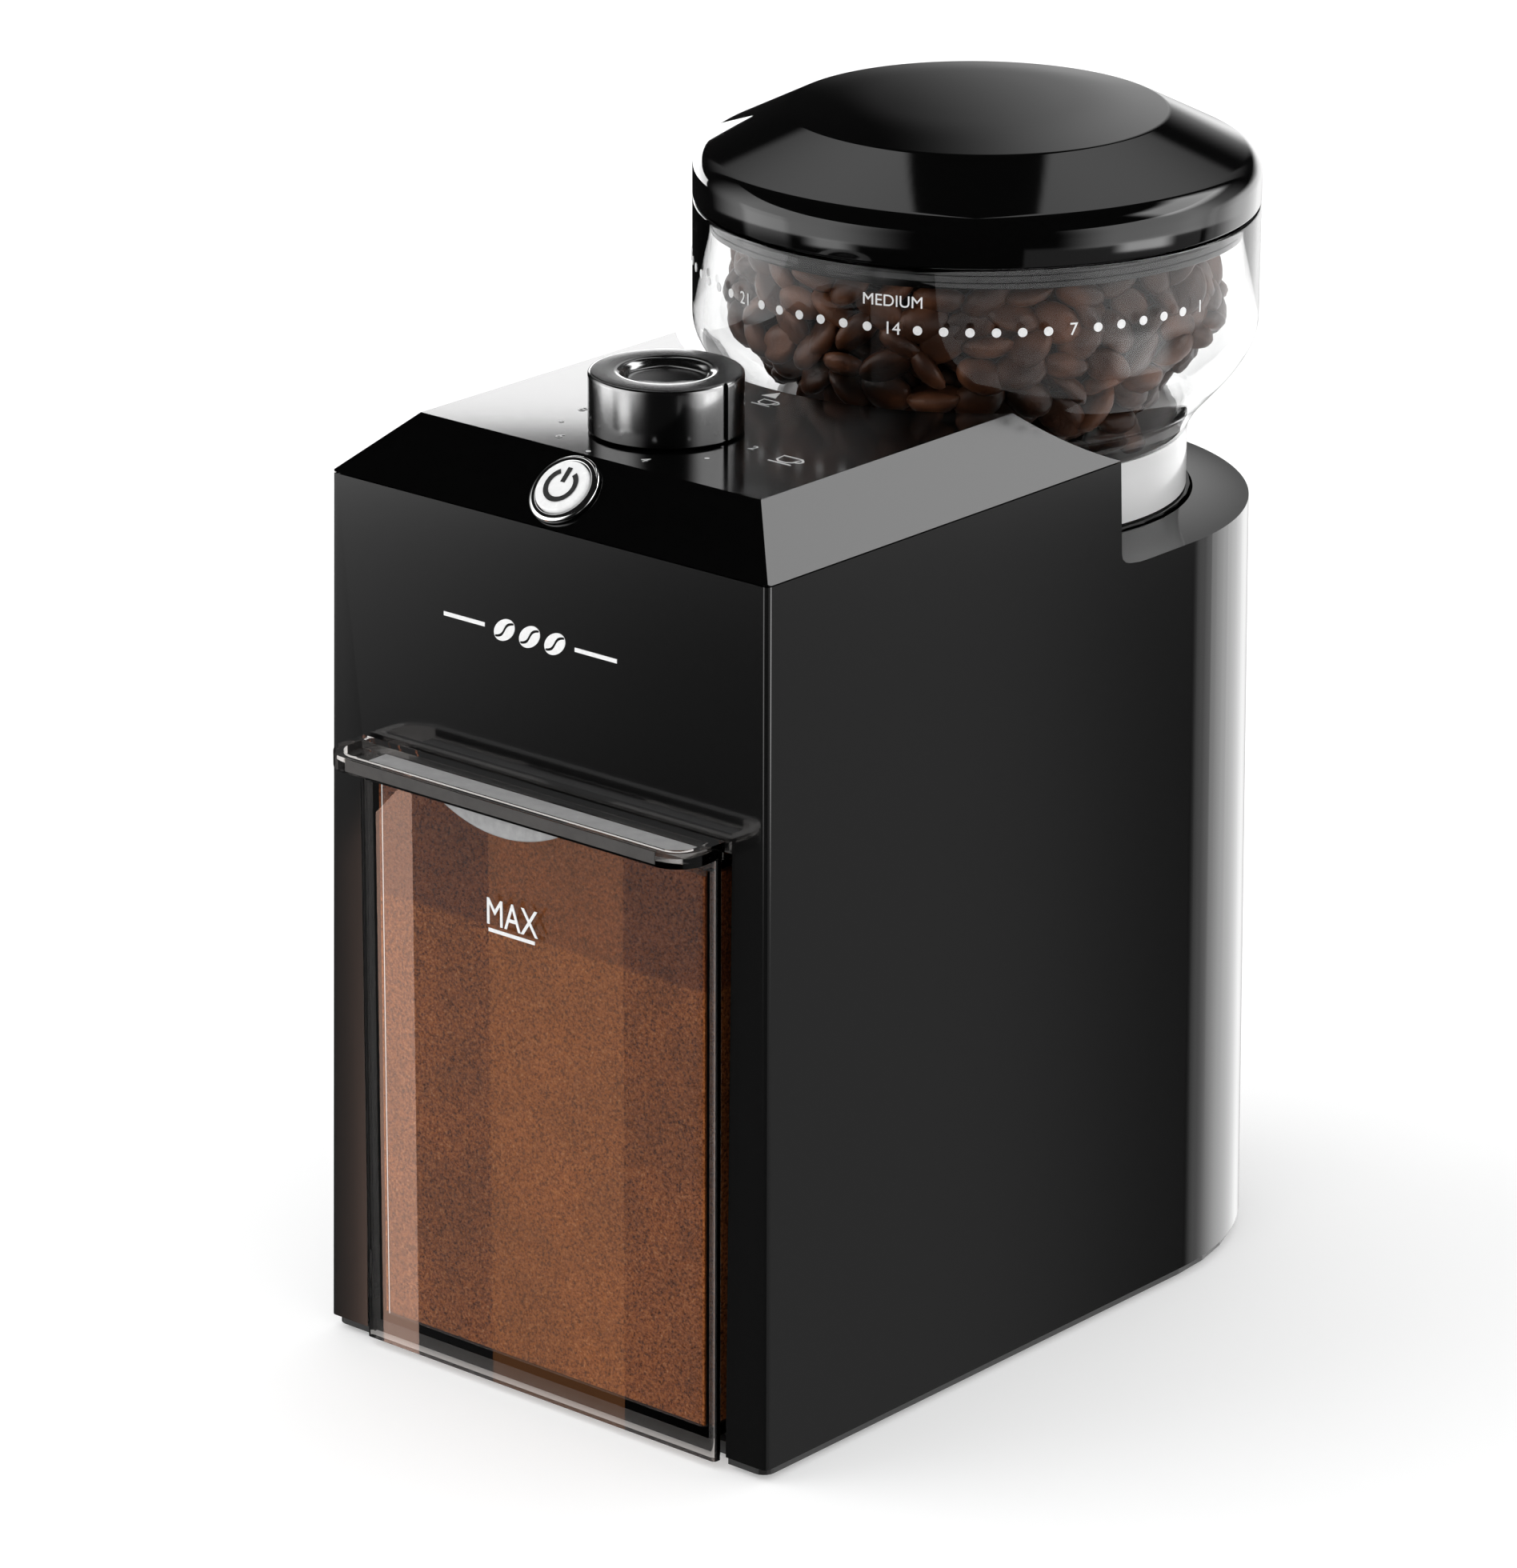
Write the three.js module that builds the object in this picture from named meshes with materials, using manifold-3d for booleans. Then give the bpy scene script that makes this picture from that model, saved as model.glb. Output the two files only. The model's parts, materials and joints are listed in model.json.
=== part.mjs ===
// A compact electric burr coffee grinder with a bean hopper at the back, a grounds drawer at the front,
// and its motor, gears, burrs and controls inside.
// Millimetres, +Z up. The model is drawn about the burr axis: x = y = 0 there, z = 0 is the worktop and
// -Y is the front. The last group moves it so that the origin is the middle of its base.
import * as THREE from "three";
import { mergeVertices } from "three/addons/utils/BufferGeometryUtils.js";
import Module from "manifold-3d";

const wasm = await Module();
wasm.setup();

// ---- Driving dimensions ----
const bodyHalfWidth = 60; // at the foot of the top chamfers; also the radius of the round back
const bodyFront = 139.3; // burr axis to the front face, at the same height
const bodyCorner = 3.5; // vertical front corners
const draftSlope = 0.012; // how far the walls lean out, per mm of height
const wall = 2.8;
const gap = 0.3; // between pieces that touch
const shellBottom = 3;
const chamferBottom = 194.7;
const deckHeight = 207.1;
const chamferInset = 13.3;
const shelfHeight = 170.8; // the lower rear top, round the hopper neck
const shelfRise = 1.6; // how much the shelf climbs from its rim to the neck
const neckHole = 48;
const rearCut = 65; // radius of the hollow behind the tall front block

const drawerHalfWidth = 49.8;
const drawerOpening = 51.3; // half width of the opening between the legs
const drawerOpeningTop = 136.3;
const drawerFront = 143.4;
const drawerBack = 50;
const containerHalfWidth = 47.8;
const containerBottom = 6.1;
const containerTop = 132;
const plastic = 2; // wall of the clear mouldings
const lipHalfWidth = 50.3;
const lipFront = 154.5;
const lipTop = 139;
const lipThickness = 3.4;

const hopperRadius = 61.4;
const hopperTop = 236.7;
const hopperWall = 2.2;
const neckRadius = 46.5;
const neckBottom = 173.5;
const lidRimBottom = 237.1;
const lidRimTop = 244.4;
const lidHeight = 259.6;

const dialRadius = 16.3;
const dialY = -101.6;
const dialTop = 220;
const buttonRadius = 6.2;
const bezelRadius = 8.1;

const gearModule = 1.25;
const gearTeeth = 36;
const pinionTeeth = 12;
const gearBottom = 119.5;
const gearTop = 129.5;
const motorY = (gearModule * (gearTeeth + pinionTeeth)) / 2 + gap;
const motorRadius = 24.5;
const motorBottom = 38;
const motorTop = 108;
const spindleRadius = 4;
const motorShaftRadius = 2.5;

const caseBottom = 114;
const caseTop = 133.2;
const chamberTop = 163;
const chamberRadius = 42;
const chamberBore = 39;
const chuteHalfWidth = 12;

const FINE = 40; // facets round a large outside surface
const MEDIUM = 24;
const SMALL = 10;

// ---- Solids ----
function solidOf(geometry) {
  const bare = geometry.clone();
  bare.deleteAttribute("normal");
  bare.deleteAttribute("uv");
  const merged = mergeVertices(bare, 1e-4);
  return new wasm.Manifold(
    new wasm.Mesh({
      numProp: 3,
      vertProperties: merged.attributes.position.array,
      triVerts: new Uint32Array(merged.index.array),
    }),
  );
}

function geometryOf(solid) {
  const mesh = solid.getMesh();
  const indexed = new THREE.BufferGeometry();
  indexed.setAttribute("position", new THREE.BufferAttribute(mesh.vertProperties, 3));
  indexed.setIndex(new THREE.BufferAttribute(mesh.triVerts, 1));
  const flat = indexed.toNonIndexed();
  flat.computeVertexNormals();
  return flat;
}

const join = (first, ...rest) => rest.reduce((sum, piece) => sum.add(piece), first);
const cut = (first, ...rest) => rest.reduce((left, tool) => left.subtract(tool), first);

function box(x0, x1, y0, y1, z0, z1) {
  const geometry = new THREE.BoxGeometry(x1 - x0, y1 - y0, z1 - z0);
  geometry.translate((x0 + x1) / 2, (y0 + y1) / 2, (z0 + z1) / 2);
  return solidOf(geometry);
}

// A plan outline, raised from z0 to z1.
function slab(points, z0, z1) {
  const geometry = new THREE.ExtrudeGeometry(new THREE.Shape(points), { depth: z1 - z0, bevelEnabled: false });
  geometry.translate(0, 0, z0);
  return solidOf(geometry);
}

// A closed profile of [radius, height] points, turned about the Z axis.
function turned(profile, facets = MEDIUM) {
  const points = profile.map(([r, z]) => new THREE.Vector2(r, z));
  if (THREE.ShapeUtils.area(points) < 0) points.reverse();
  const onAxis = points.some((point) => point.x === 0);
  if (!onAxis) points.push(points[0].clone());
  const geometry = new THREE.LatheGeometry(points, facets);
  geometry.rotateX(Math.PI / 2);
  return solidOf(geometry);
}

// A profile whose first and last points are on the axis, listed from the bottom up.
function spun(profile, facets = MEDIUM) {
  const points = profile.map(([r, z]) => new THREE.Vector2(r, z));
  const geometry = new THREE.LatheGeometry(points, facets);
  geometry.rotateX(Math.PI / 2);
  return solidOf(geometry);
}

const disc = (r, z0, z1, facets = MEDIUM) => spun([[0, z0], [r, z0], [r, z1], [0, z1]], facets);
const ring = (inner, outer, z0, z1, facets = MEDIUM) =>
  turned([[inner, z0], [outer, z0], [outer, z1], [inner, z1]], facets);

const degrees = (angle) => (angle * Math.PI) / 180;

function arc(cx, cy, r, from, to, steps) {
  return Array.from({ length: steps + 1 }, (_, i) => {
    const angle = degrees(from + ((to - from) * i) / steps);
    return new THREE.Vector2(cx + r * Math.cos(angle), cy + r * Math.sin(angle));
  });
}

function roundedRectangle(x0, x1, y0, y1, r, steps = 4) {
  return [
    ...arc(x1 - r, y1 - r, r, 0, 90, steps),
    ...arc(x0 + r, y1 - r, r, 90, 180, steps),
    ...arc(x0 + r, y0 + r, r, 180, 270, steps),
    ...arc(x1 - r, y0 + r, r, 270, 360, steps),
  ];
}

// ---- Casing ----
function bodyOutline(inset) {
  const half = bodyHalfWidth - inset;
  const front = inset - bodyFront;
  const r = Math.max(bodyCorner - inset, 0.6);
  return [
    ...arc(0, 0, half, 0, 180, FINE / 2),
    ...arc(r - half, front + r, r, 180, 270, 5),
    ...arc(half - r, front + r, r, 270, 360, 5),
  ];
}

// The body's plan raised from z0 to z1, with its walls leaning out towards the base.
function draftedBody(inset, z0, z1) {
  const geometry = new THREE.ExtrudeGeometry(new THREE.Shape(bodyOutline(inset)), {
    depth: z1 - z0,
    bevelEnabled: false,
  });
  geometry.translate(0, 0, z0);
  const position = geometry.attributes.position;
  for (let i = 0; i < position.count; i++) {
    const lean = draftSlope * (chamferBottom - position.getZ(i));
    const reach = position.getY(i) > 0 ? bodyHalfWidth : bodyFront;
    position.setX(i, position.getX(i) * (1 + lean / bodyHalfWidth));
    position.setY(i, position.getY(i) * (1 + lean / reach));
  }
  return solidOf(geometry);
}

const bossReach = 55.4;
const bossRadius = 4.4;
const bossPlaces = [
  [bossReach, -125],
  [-bossReach, -125],
  [bossReach * 0.66, bossReach * 0.75],
  [-bossReach * 0.66, bossReach * 0.75],
];
const glandHeight = 16;
const glandHole = 6;

function bodyHousing() {
  const high = deckHeight + 10;
  const behindBlock = disc(rearCut, shelfHeight, high, FINE);
  const outside = cut(draftedBody(0, shellBottom, chamferBottom - gap), behindBlock);
  const underShelf = draftedBody(wall, 0, shelfHeight - wall);
  const inBlock = cut(draftedBody(wall, 0, high), disc(rearCut + wall, 0, high + 1, FINE));
  const collar = turned(
    [
      [neckHole - 1, shelfHeight - wall],
      [bodyHalfWidth - 0.4, shelfHeight - wall],
      [bodyHalfWidth - 0.4, shelfHeight - 0.01],
      [neckHole - 1, shelfHeight + shelfRise],
    ],
    FINE,
  );
  const bosses = bossPlaces.map(([x, y]) => disc(bossRadius, 4.3, 24, SMALL).translate([x, y, 0]));
  const pilots = bossPlaces.map(([x, y]) => disc(1.7, 0, 16, SMALL).translate([x, y, 0]));
  const gland = disc(glandHole, 40, 80, SMALL).rotate([-90, 0, 0]).translate([0, 0, glandHeight]);
  return cut(
    join(cut(outside, underShelf, inBlock), collar, ...bosses),
    disc(neckHole, shelfHeight - 10, high, FINE),
    box(-drawerOpening, drawerOpening, -bodyFront - 10, wall + 1 - bodyFront, -1, drawerOpeningTop),
    gland,
    ...pilots,
  );
}

// The section of the chamfered top across X, inset evenly all round.
function topSection(inset, reach) {
  const rise = deckHeight - chamferBottom;
  const slant = Math.hypot(rise, chamferInset);
  const half = reach - inset;
  const shoulder = chamferBottom - (inset * (slant - rise)) / chamferInset;
  const deckEdge = reach - chamferInset - (inset * (slant - chamferInset)) / rise;
  return { half, shoulder, deckEdge, top: deckHeight - inset };
}

// The tall front block between z0 and the deck, with its front and side chamfers.
function topBlock(inset, z0) {
  const side = topSection(inset, bodyHalfWidth);
  const front = topSection(inset, bodyFront);
  const low = z0 - 5;
  const across = new THREE.Shape(
    [
      [-side.half - 1, low],
      [side.half + 1, low],
      [side.half + 1, side.shoulder],
      [side.half, side.shoulder],
      [side.deckEdge, side.top],
      [-side.deckEdge, side.top],
      [-side.half, side.shoulder],
      [-side.half - 1, side.shoulder],
    ].map(([x, z]) => new THREE.Vector2(x, z)),
  );
  const along = new THREE.Shape(
    [
      [-front.half - 1, low],
      [1, low],
      [1, front.top],
      [-front.deckEdge, front.top],
      [-front.half, front.shoulder],
      [-front.half - 1, front.shoulder],
    ].map(([y, z]) => new THREE.Vector2(y, z)),
  );
  const acrossBar = new THREE.ExtrudeGeometry(across, { depth: 2 * bodyFront, bevelEnabled: false });
  acrossBar.rotateX(Math.PI / 2);
  acrossBar.translate(0, 1, 0);
  const alongBar = new THREE.ExtrudeGeometry(along, { depth: 3 * bodyHalfWidth, bevelEnabled: false });
  alongBar.rotateX(Math.PI / 2);
  alongBar.rotateZ(Math.PI / 2);
  alongBar.translate(-1.5 * bodyHalfWidth, 0, 0);
  const plan = slab(bodyOutline(inset), z0, deckHeight + 1);
  return cut(
    plan.intersect(solidOf(acrossBar)).intersect(solidOf(alongBar)),
    disc(rearCut + inset, z0 - 1, deckHeight + 2, FINE),
  );
}

// The button's own frame: its origin on the middle of the front chamfer, +Z along the outward normal.
const chamferTilt = Math.atan2(deckHeight - chamferBottom, chamferInset);
const buttonPlace = new THREE.Vector3(0, chamferInset / 2 - bodyFront, (chamferBottom + deckHeight) / 2);
const onChamfer = (solid) =>
  solid
    .rotate([THREE.MathUtils.radToDeg(chamferTilt), 0, 0])
    .translate([buttonPlace.x, buttonPlace.y, buttonPlace.z]);

const boardTop = 182;
const boardPosts = [
  [-34, -84],
  [34, -84],
];

function topCover() {
  const skirtOut = wall + 0.35;
  const skirtIn = wall + 1.9;
  const skirtBottom = chamferBottom - 4;
  const skirtTop = chamferBottom + 2.3;
  const skirtRing = cut(
    slab(bodyOutline(skirtOut), skirtBottom, skirtTop),
    cut(
      slab(bodyOutline(skirtIn), skirtBottom - 1, skirtTop + 1),
      disc(rearCut + skirtIn, skirtBottom - 2, skirtTop + 2, FINE),
    ),
    disc(rearCut + skirtOut, skirtBottom - 2, skirtTop + 2, FINE),
  );
  const posts = boardPosts.map(([x, y]) => disc(3.2, boardTop + gap, deckHeight - 1, SMALL).translate([x, y, 0]));
  const pilots = boardPosts.map(([x, y]) => disc(1.4, boardTop - 1, boardTop + 9, SMALL).translate([x, y, 0]));
  return cut(
    join(cut(topBlock(0, chamferBottom), topBlock(wall, chamferBottom - 1)), skirtRing, ...posts),
    disc(4.9, boardTop, deckHeight + 1, SMALL).translate([0, dialY, 0]),
    onChamfer(disc(bezelRadius - 0.45, -wall - 8, 1, MEDIUM)),
    ...pilots,
  );
}

// ---- Base ----
const plateBottom = 1.2;
const plateTop = 4;
const feet = {
  foot_front_left: [-46, -118],
  foot_front_right: [46, -118],
  foot_rear_left: [-30, 26],
  foot_rear_right: [30, 26],
};
const footRadius = 7;
const postPlaces = [
  [45, 22],
  [-45, 22],
  [36, -37],
  [-36, -37],
];

function basePlate() {
  const rim = draftedBody(0.8, plateBottom, shellBottom - gap);
  const tray = draftedBody(wall + 0.5, plateBottom, plateTop);
  const posts = postPlaces.map(([x, y]) => disc(3.5, plateBottom, caseBottom - gap, SMALL).translate([x, y, 0]));
  const footSeats = Object.values(feet).map(([x, y]) =>
    disc(footRadius + gap, 0, 2.6, MEDIUM).translate([x, y, 0]),
  );
  const screwHoles = bossPlaces.map(([x, y]) =>
    join(disc(3.5, 0, 2.9, SMALL), disc(1.8, 0, 6, SMALL)).translate([x, y, 0]),
  );
  const vents = Array.from({ length: 7 }, (_, i) =>
    box(-16, 16, motorY - 20 + 6 * i, motorY - 17 + 6 * i, 0, 6),
  );
  return cut(
    join(rim, tray, ...posts),
    box(-drawerOpening, drawerOpening, -bodyFront - 10, 1.8 - bodyFront, 0, 6),
    ...footSeats,
    ...screwHoles,
    ...vents,
  );
}

const foot = () => spun([[0, 0], [footRadius - 0.8, 0], [footRadius, 0.8], [footRadius, 2.3], [0, 2.3]], SMALL + 6);
const screw = (headRadius, headHeight, shankRadius, length) =>
  spun(
    [[0, 0], [headRadius, 0], [headRadius, headHeight], [shankRadius, headHeight], [shankRadius, length], [0, length]],
    SMALL,
  );

function cordGland() {
  const lip = 58.4;
  const end = 61.6;
  const profile = [[3.4, 54], [8.5, 54], [8.5, lip], [glandHole - gap, lip], [glandHole - gap, end], [3.4, end]];
  return turned(profile, SMALL + 6).rotate([-90, 0, 0]).translate([0, 0, glandHeight]);
}

// ---- Grounds drawer ----
const bayHalfWidth = 48.7;
const bayWall = 1.6;
const bayTop = 134.7;
const bayBack = drawerBack - 2;
const spoutBack = 61;
const spoutFront = 84;

function drawerBay() {
  const outer = box(
    -bayHalfWidth - bayWall,
    bayHalfWidth + bayWall,
    -bodyFront + wall + 1.2,
    bayWall - bayBack,
    plateTop + gap,
    bayTop + bayWall,
  );
  const inner = box(-bayHalfWidth, bayHalfWidth, -bodyFront, -bayBack, plateTop + gap + 1.3, bayTop);
  const drop = box(-16, 16, -spoutFront - 3, 3 - spoutBack, bayTop - 5, bayTop + 5);
  const lugs = [-1, 1].map((side) => {
    const reach = [side * (bayHalfWidth - 14), side * (bayHalfWidth + bayWall)].sort((a, b) => a - b);
    return box(reach[0], reach[1], -120, -112, bayTop + 0.8, bayTop + 6);
  });
  return cut(join(cut(outer, inner), ...lugs), drop);
}

function lipOutline(inset, back) {
  const half = lipHalfWidth - inset;
  const front = inset - lipFront;
  const r = 7 - inset;
  return [
    new THREE.Vector2(half, back),
    new THREE.Vector2(-half, back),
    ...arc(r - half, front + r, r, 180, 270, 7),
    ...arc(half - r, front + r, r, 270, 360, 7),
  ];
}

// The pull bulges down under the middle of the lip, as a shallow bow.
function fingerPad() {
  const chord = 17;
  const sag = 4.4;
  const radius = (chord * chord + sag * sag) / (2 * sag);
  const spread = THREE.MathUtils.radToDeg(Math.asin(chord / radius));
  const bow = arc(0, radius - sag, radius, 270 - spread, 270 + spread, 12);
  const outline = [...bow, new THREE.Vector2(chord, 1), new THREE.Vector2(-chord, 1)];
  const geometry = new THREE.ExtrudeGeometry(new THREE.Shape(outline), { depth: 2.6, bevelEnabled: false });
  geometry.rotateX(Math.PI / 2);
  geometry.translate(0, 3.6 - lipFront, lipTop - lipThickness);
  return solidOf(geometry);
}

function groundsContainer() {
  const panelBack = -drawerFront + 2.5;
  const lipBottom = lipTop - lipThickness;
  const tub = box(-containerHalfWidth, containerHalfWidth, panelBack - 1, -drawerBack, containerBottom, containerTop);
  const panel = box(-drawerHalfWidth, drawerHalfWidth, -drawerFront, panelBack, 1.9, lipBottom + 1);
  const inside = box(
    plastic - containerHalfWidth,
    containerHalfWidth - plastic,
    panelBack + 0.2,
    -drawerBack - plastic,
    containerBottom + plastic,
    containerTop + 20,
  );
  const lip = slab(lipOutline(0, -drawerFront + 2.3), lipBottom, lipTop);
  const trough = slab(lipOutline(2.2, -drawerFront - 0.4), lipTop - 1.7, lipTop + 1);
  return join(cut(join(tub, panel), inside), cut(lip, trough), fingerPad());
}

function containerLid() {
  const plate = slab(
    roundedRectangle(-containerHalfWidth + 0.4, containerHalfWidth - 0.4, -drawerFront + 5.5, -drawerBack - 0.5, 3),
    containerTop + gap,
    containerTop + 1.9,
  );
  const rib = cut(
    box(-45, 45, -137, -drawerBack - 3, containerTop - 3, containerTop + 0.6),
    box(-43.6, 43.6, -135.6, -drawerBack - 4.4, containerTop - 4, containerTop + gap),
  );
  const hole = box(-15, 15, -spoutFront - 2, 2 - spoutBack, containerTop - 5, containerTop + 5);
  return cut(join(plate, rib), hole);
}

// ---- Burr chamber and gearbox ----
// A circle cut off by a straight chord that faces the drawer.
function chordOutline(r, chord) {
  const corner = THREE.MathUtils.radToDeg(Math.asin(chord / r));
  return arc(0, 0, r, -corner, 180 + corner, FINE / 2);
}

const caseRadius = 55.5;
const caseChord = 45;
const caseScrewReach = 47.8;
const caseScrewAngles = [0, 90, 180];
const caseScrewPlaces = caseScrewAngles.map((angle) => [
  caseScrewReach * Math.cos(degrees(angle)),
  caseScrewReach * Math.sin(degrees(angle)),
]);

function gearboxCase() {
  const bosses = caseScrewPlaces.map(([x, y]) => disc(4, caseBottom, caseTop, SMALL).translate([x, y, 0]));
  const pilots = caseScrewPlaces.map(([x, y]) => disc(1.6, caseTop - 10, caseTop + 1, SMALL).translate([x, y, 0]));
  return cut(
    join(
      cut(
        slab(chordOutline(caseRadius, caseChord), caseBottom, caseTop),
        slab(chordOutline(caseRadius - 2.6, caseChord - 2.6), caseBottom + 3, caseTop + 1),
      ),
      ...bosses,
    ),
    disc(spindleRadius + 3.3, caseBottom - 1, caseBottom + 5, MEDIUM),
    disc(9, caseBottom - 1, caseBottom + 5, MEDIUM).translate([0, motorY, 0]),
    ...pilots,
  );
}

const chamberFloor = caseTop + gap;

function burrChamber() {
  const holes = caseScrewPlaces.map(([x, y]) => disc(1.9, caseTop, caseTop + 5, SMALL).translate([x, y, 0]));
  return cut(
    join(
      slab(chordOutline(caseRadius, caseChord), chamberFloor, chamberFloor + 3),
      disc(chamberRadius, chamberFloor + 1, chamberTop, FINE),
    ),
    disc(chamberBore, chamberFloor + 3, chamberTop + 1, FINE),
    disc(spindleRadius + 3.3, chamberFloor - 1, chamberFloor + 5, MEDIUM),
    box(-chuteHalfWidth, chuteHalfWidth, -50, -30, 138, 150),
    ...holes,
  );
}

function dischargeChute() {
  const side = chuteHalfWidth + 1.6;
  const duct = cut(
    box(-side, side, -spoutFront - 1.6, -30, 136.7, 151.6),
    box(-chuteHalfWidth, chuteHalfWidth, -spoutFront, -20, 138, 150),
  );
  const spout = box(-side, side, -spoutFront - 1.6, 1.6 - spoutBack, 135.1, 138);
  const drop = box(-chuteHalfWidth, chuteHalfWidth, -spoutFront, -spoutBack, 130, 140);
  return cut(join(duct, spout), drop, disc(chamberRadius + gap, 130, 160, FINE));
}

const bush = (bore, outside, flange, z0, z1) =>
  turned([[bore, z0], [outside, z0], [outside, z1 - 1], [flange, z1 - 1], [flange, z1], [bore, z1]], SMALL + 6);

// A spur gear's outline: straight-flanked teeth with their first tooth at the given angle.
function gearOutline(teeth, firstTooth) {
  const pitchRadius = (gearModule * teeth) / 2;
  const pitch = 360 / teeth;
  const corners = [
    [-0.36, -1.25],
    [-0.1, 0.95],
    [0.1, 0.95],
    [0.36, -1.25],
  ];
  return Array.from({ length: teeth }, (_, i) =>
    corners.map(([along, out]) => {
      const angle = degrees(firstTooth + pitch * (i + along));
      const r = pitchRadius + gearModule * out;
      return new THREE.Vector2(r * Math.cos(angle), r * Math.sin(angle));
    }),
  ).flat();
}

function driveGear() {
  const recess = ring(9, 18.5, gearTop - 3, gearTop + 1);
  const windows = Array.from({ length: 6 }, (_, i) =>
    disc(3.6, gearBottom - 1, gearTop + 1, SMALL).translate([13.7, 0, 0]).rotate([0, 0, 60 * i]),
  );
  return cut(
    slab(gearOutline(gearTeeth, 90), gearBottom, gearTop),
    disc(spindleRadius + gap, gearBottom - 1, gearTop + 1, SMALL + 6),
    recess,
    ...windows,
  );
}

const pinion = () =>
  cut(
    slab(gearOutline(pinionTeeth, 90 + 180 / pinionTeeth), gearBottom, gearTop),
    disc(motorShaftRadius + gap, gearBottom - 1, gearTop + 1, SMALL),
  );

// ---- Burrs ----
const burrTaper = 0.82; // how far the cutting cone narrows, per mm of height
const burrGap = 1.5;
const upperBurrBottom = 147.5;
const upperBurrTop = 161;
const upperBurrBore = 25.6;
const coneBottom = 145.5;
const coneTop = 164.5;

// Cutting flutes: the surface sinks by up to depth at count places round the axis, twisting with height.
function fluted(profile, facets, count, depth, twist, from, to) {
  const points = profile.map(([r, z]) => new THREE.Vector2(r, z));
  if (THREE.ShapeUtils.area(points) < 0) points.reverse();
  points.push(points[0].clone());
  const geometry = new THREE.LatheGeometry(points, facets);
  geometry.rotateX(Math.PI / 2);
  const position = geometry.attributes.position;
  for (let i = 0; i < position.count; i++) {
    const [x, y, z] = [position.getX(i), position.getY(i), position.getZ(i)];
    const r = Math.hypot(x, y);
    if (r < from || r > to) continue;
    const wave = 0.5 + 0.5 * Math.cos(count * Math.atan2(y, x) + twist * z);
    const scale = (r - depth * wave) / r;
    position.setX(i, x * scale);
    position.setY(i, y * scale);
  }
  return solidOf(geometry);
}

function lowerBurr() {
  const radiusAt = (z) => upperBurrBore - burrGap - burrTaper * (z - upperBurrBottom);
  const bore = spindleRadius + gap;
  const levels = 4;
  const flank = Array.from({ length: levels + 1 }, (_, i) => {
    const z = coneBottom + ((coneTop - coneBottom) * i) / levels;
    return [radiusAt(z), z];
  });
  return fluted([[bore, coneBottom], ...flank, [bore, coneTop]], 48, 12, 1.1, 0.1, bore + 1, 100);
}

function upperBurr() {
  const levels = 3;
  const height = upperBurrTop - upperBurrBottom;
  const flank = Array.from({ length: levels + 1 }, (_, i) => {
    const z = upperBurrTop - (height * i) / levels;
    return [upperBurrBore - burrTaper * (z - upperBurrBottom), z];
  });
  const outside = 31.2;
  return fluted([[outside, upperBurrBottom], [outside, upperBurrTop], ...flank], 48, 12, -0.9, 0.1, 0, outside - 1);
}

const burrCarrier = () =>
  turned([[31.6, 148], [37.8, 148], [37.8, 162.6], [24, 162.6], [24, 161.4], [31.6, 161.4]], FINE / 2);

function impeller() {
  const vane = (angle) => box(9, 35, -1.2, 1.2, 140, 144.6).rotate([0, 0, angle]);
  const vanes = Array.from({ length: 6 }, (_, i) => vane(60 * i));
  return cut(
    join(disc(36.5, 138.6, 141, MEDIUM), disc(10, 140, 145, SMALL + 6), ...vanes),
    disc(spindleRadius + gap, 130, 150, SMALL + 6),
  );
}

const burrNut = () =>
  cut(slab(arc(0, 0, 7.5, 0, 300, 5), coneTop + gap, coneTop + 3.6), disc(spindleRadius - 0.6, 150, coneTop + 1.2, SMALL));
const spindleShaft = () =>
  spun([[0, 110], [spindleRadius, 110], [spindleRadius, coneTop], [3.1, coneTop], [3.1, coneTop + 0.9], [0, coneTop + 0.9]], SMALL + 6);

const adjustRing = () =>
  turned([[33, 164.3], [50.4, 164.3], [50.4, 167.4], [47.4, 167.4], [47.4, 173.1], [33, 173.1]], FINE);

// ---- Motor ----
function motorCan() {
  const bossTop = motorTop + 3;
  return turned(
    [
      [5.2, motorTop - 2],
      [motorRadius - 1.4, motorTop - 2],
      [motorRadius - 1.4, motorBottom],
      [motorRadius, motorBottom],
      [motorRadius, motorTop],
      [8.6, motorTop],
      [8.6, bossTop],
      [5.2, bossTop],
    ],
    MEDIUM,
  );
}

const endBell = () =>
  turned(
    [
      [5.2, 33],
      [9, 33],
      [9, 35.4],
      [motorRadius, 35.4],
      [motorRadius, motorBottom - gap],
      [motorRadius - 1.8, motorBottom - gap],
      [motorRadius - 1.8, motorBottom + 3],
      [motorRadius - 3.6, motorBottom + 3],
      [motorRadius - 3.6, motorBottom],
      [5.2, motorBottom],
    ],
    MEDIUM,
  );

function magnet(side) {
  const middle = side * 90 - 90;
  const outline = [...arc(0, 0, 22.7, middle - 62, middle + 62, 12), ...arc(0, 0, 19.6, middle + 62, middle - 62, 12)];
  return slab(outline, 55, 96);
}

function armature() {
  const poles = 5;
  const pole = (i) => {
    const middle = (360 / poles) * i;
    return [...arc(0, 0, 18.4, middle - 31, middle + 31, 6), ...arc(0, 0, 9, middle + 33, middle + 39, 1)];
  };
  const outline = Array.from({ length: poles }, (_, i) => pole(i)).flat();
  return cut(slab(outline, 57, 94), disc(motorShaftRadius + gap, 50, 100, SMALL));
}

const commutator = () =>
  turned([[2.8, 44], [6.8, 44], [6.8, 52.4], [8.2, 52.4], [8.2, 54], [2.8, 54]], SMALL + 6);

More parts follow.
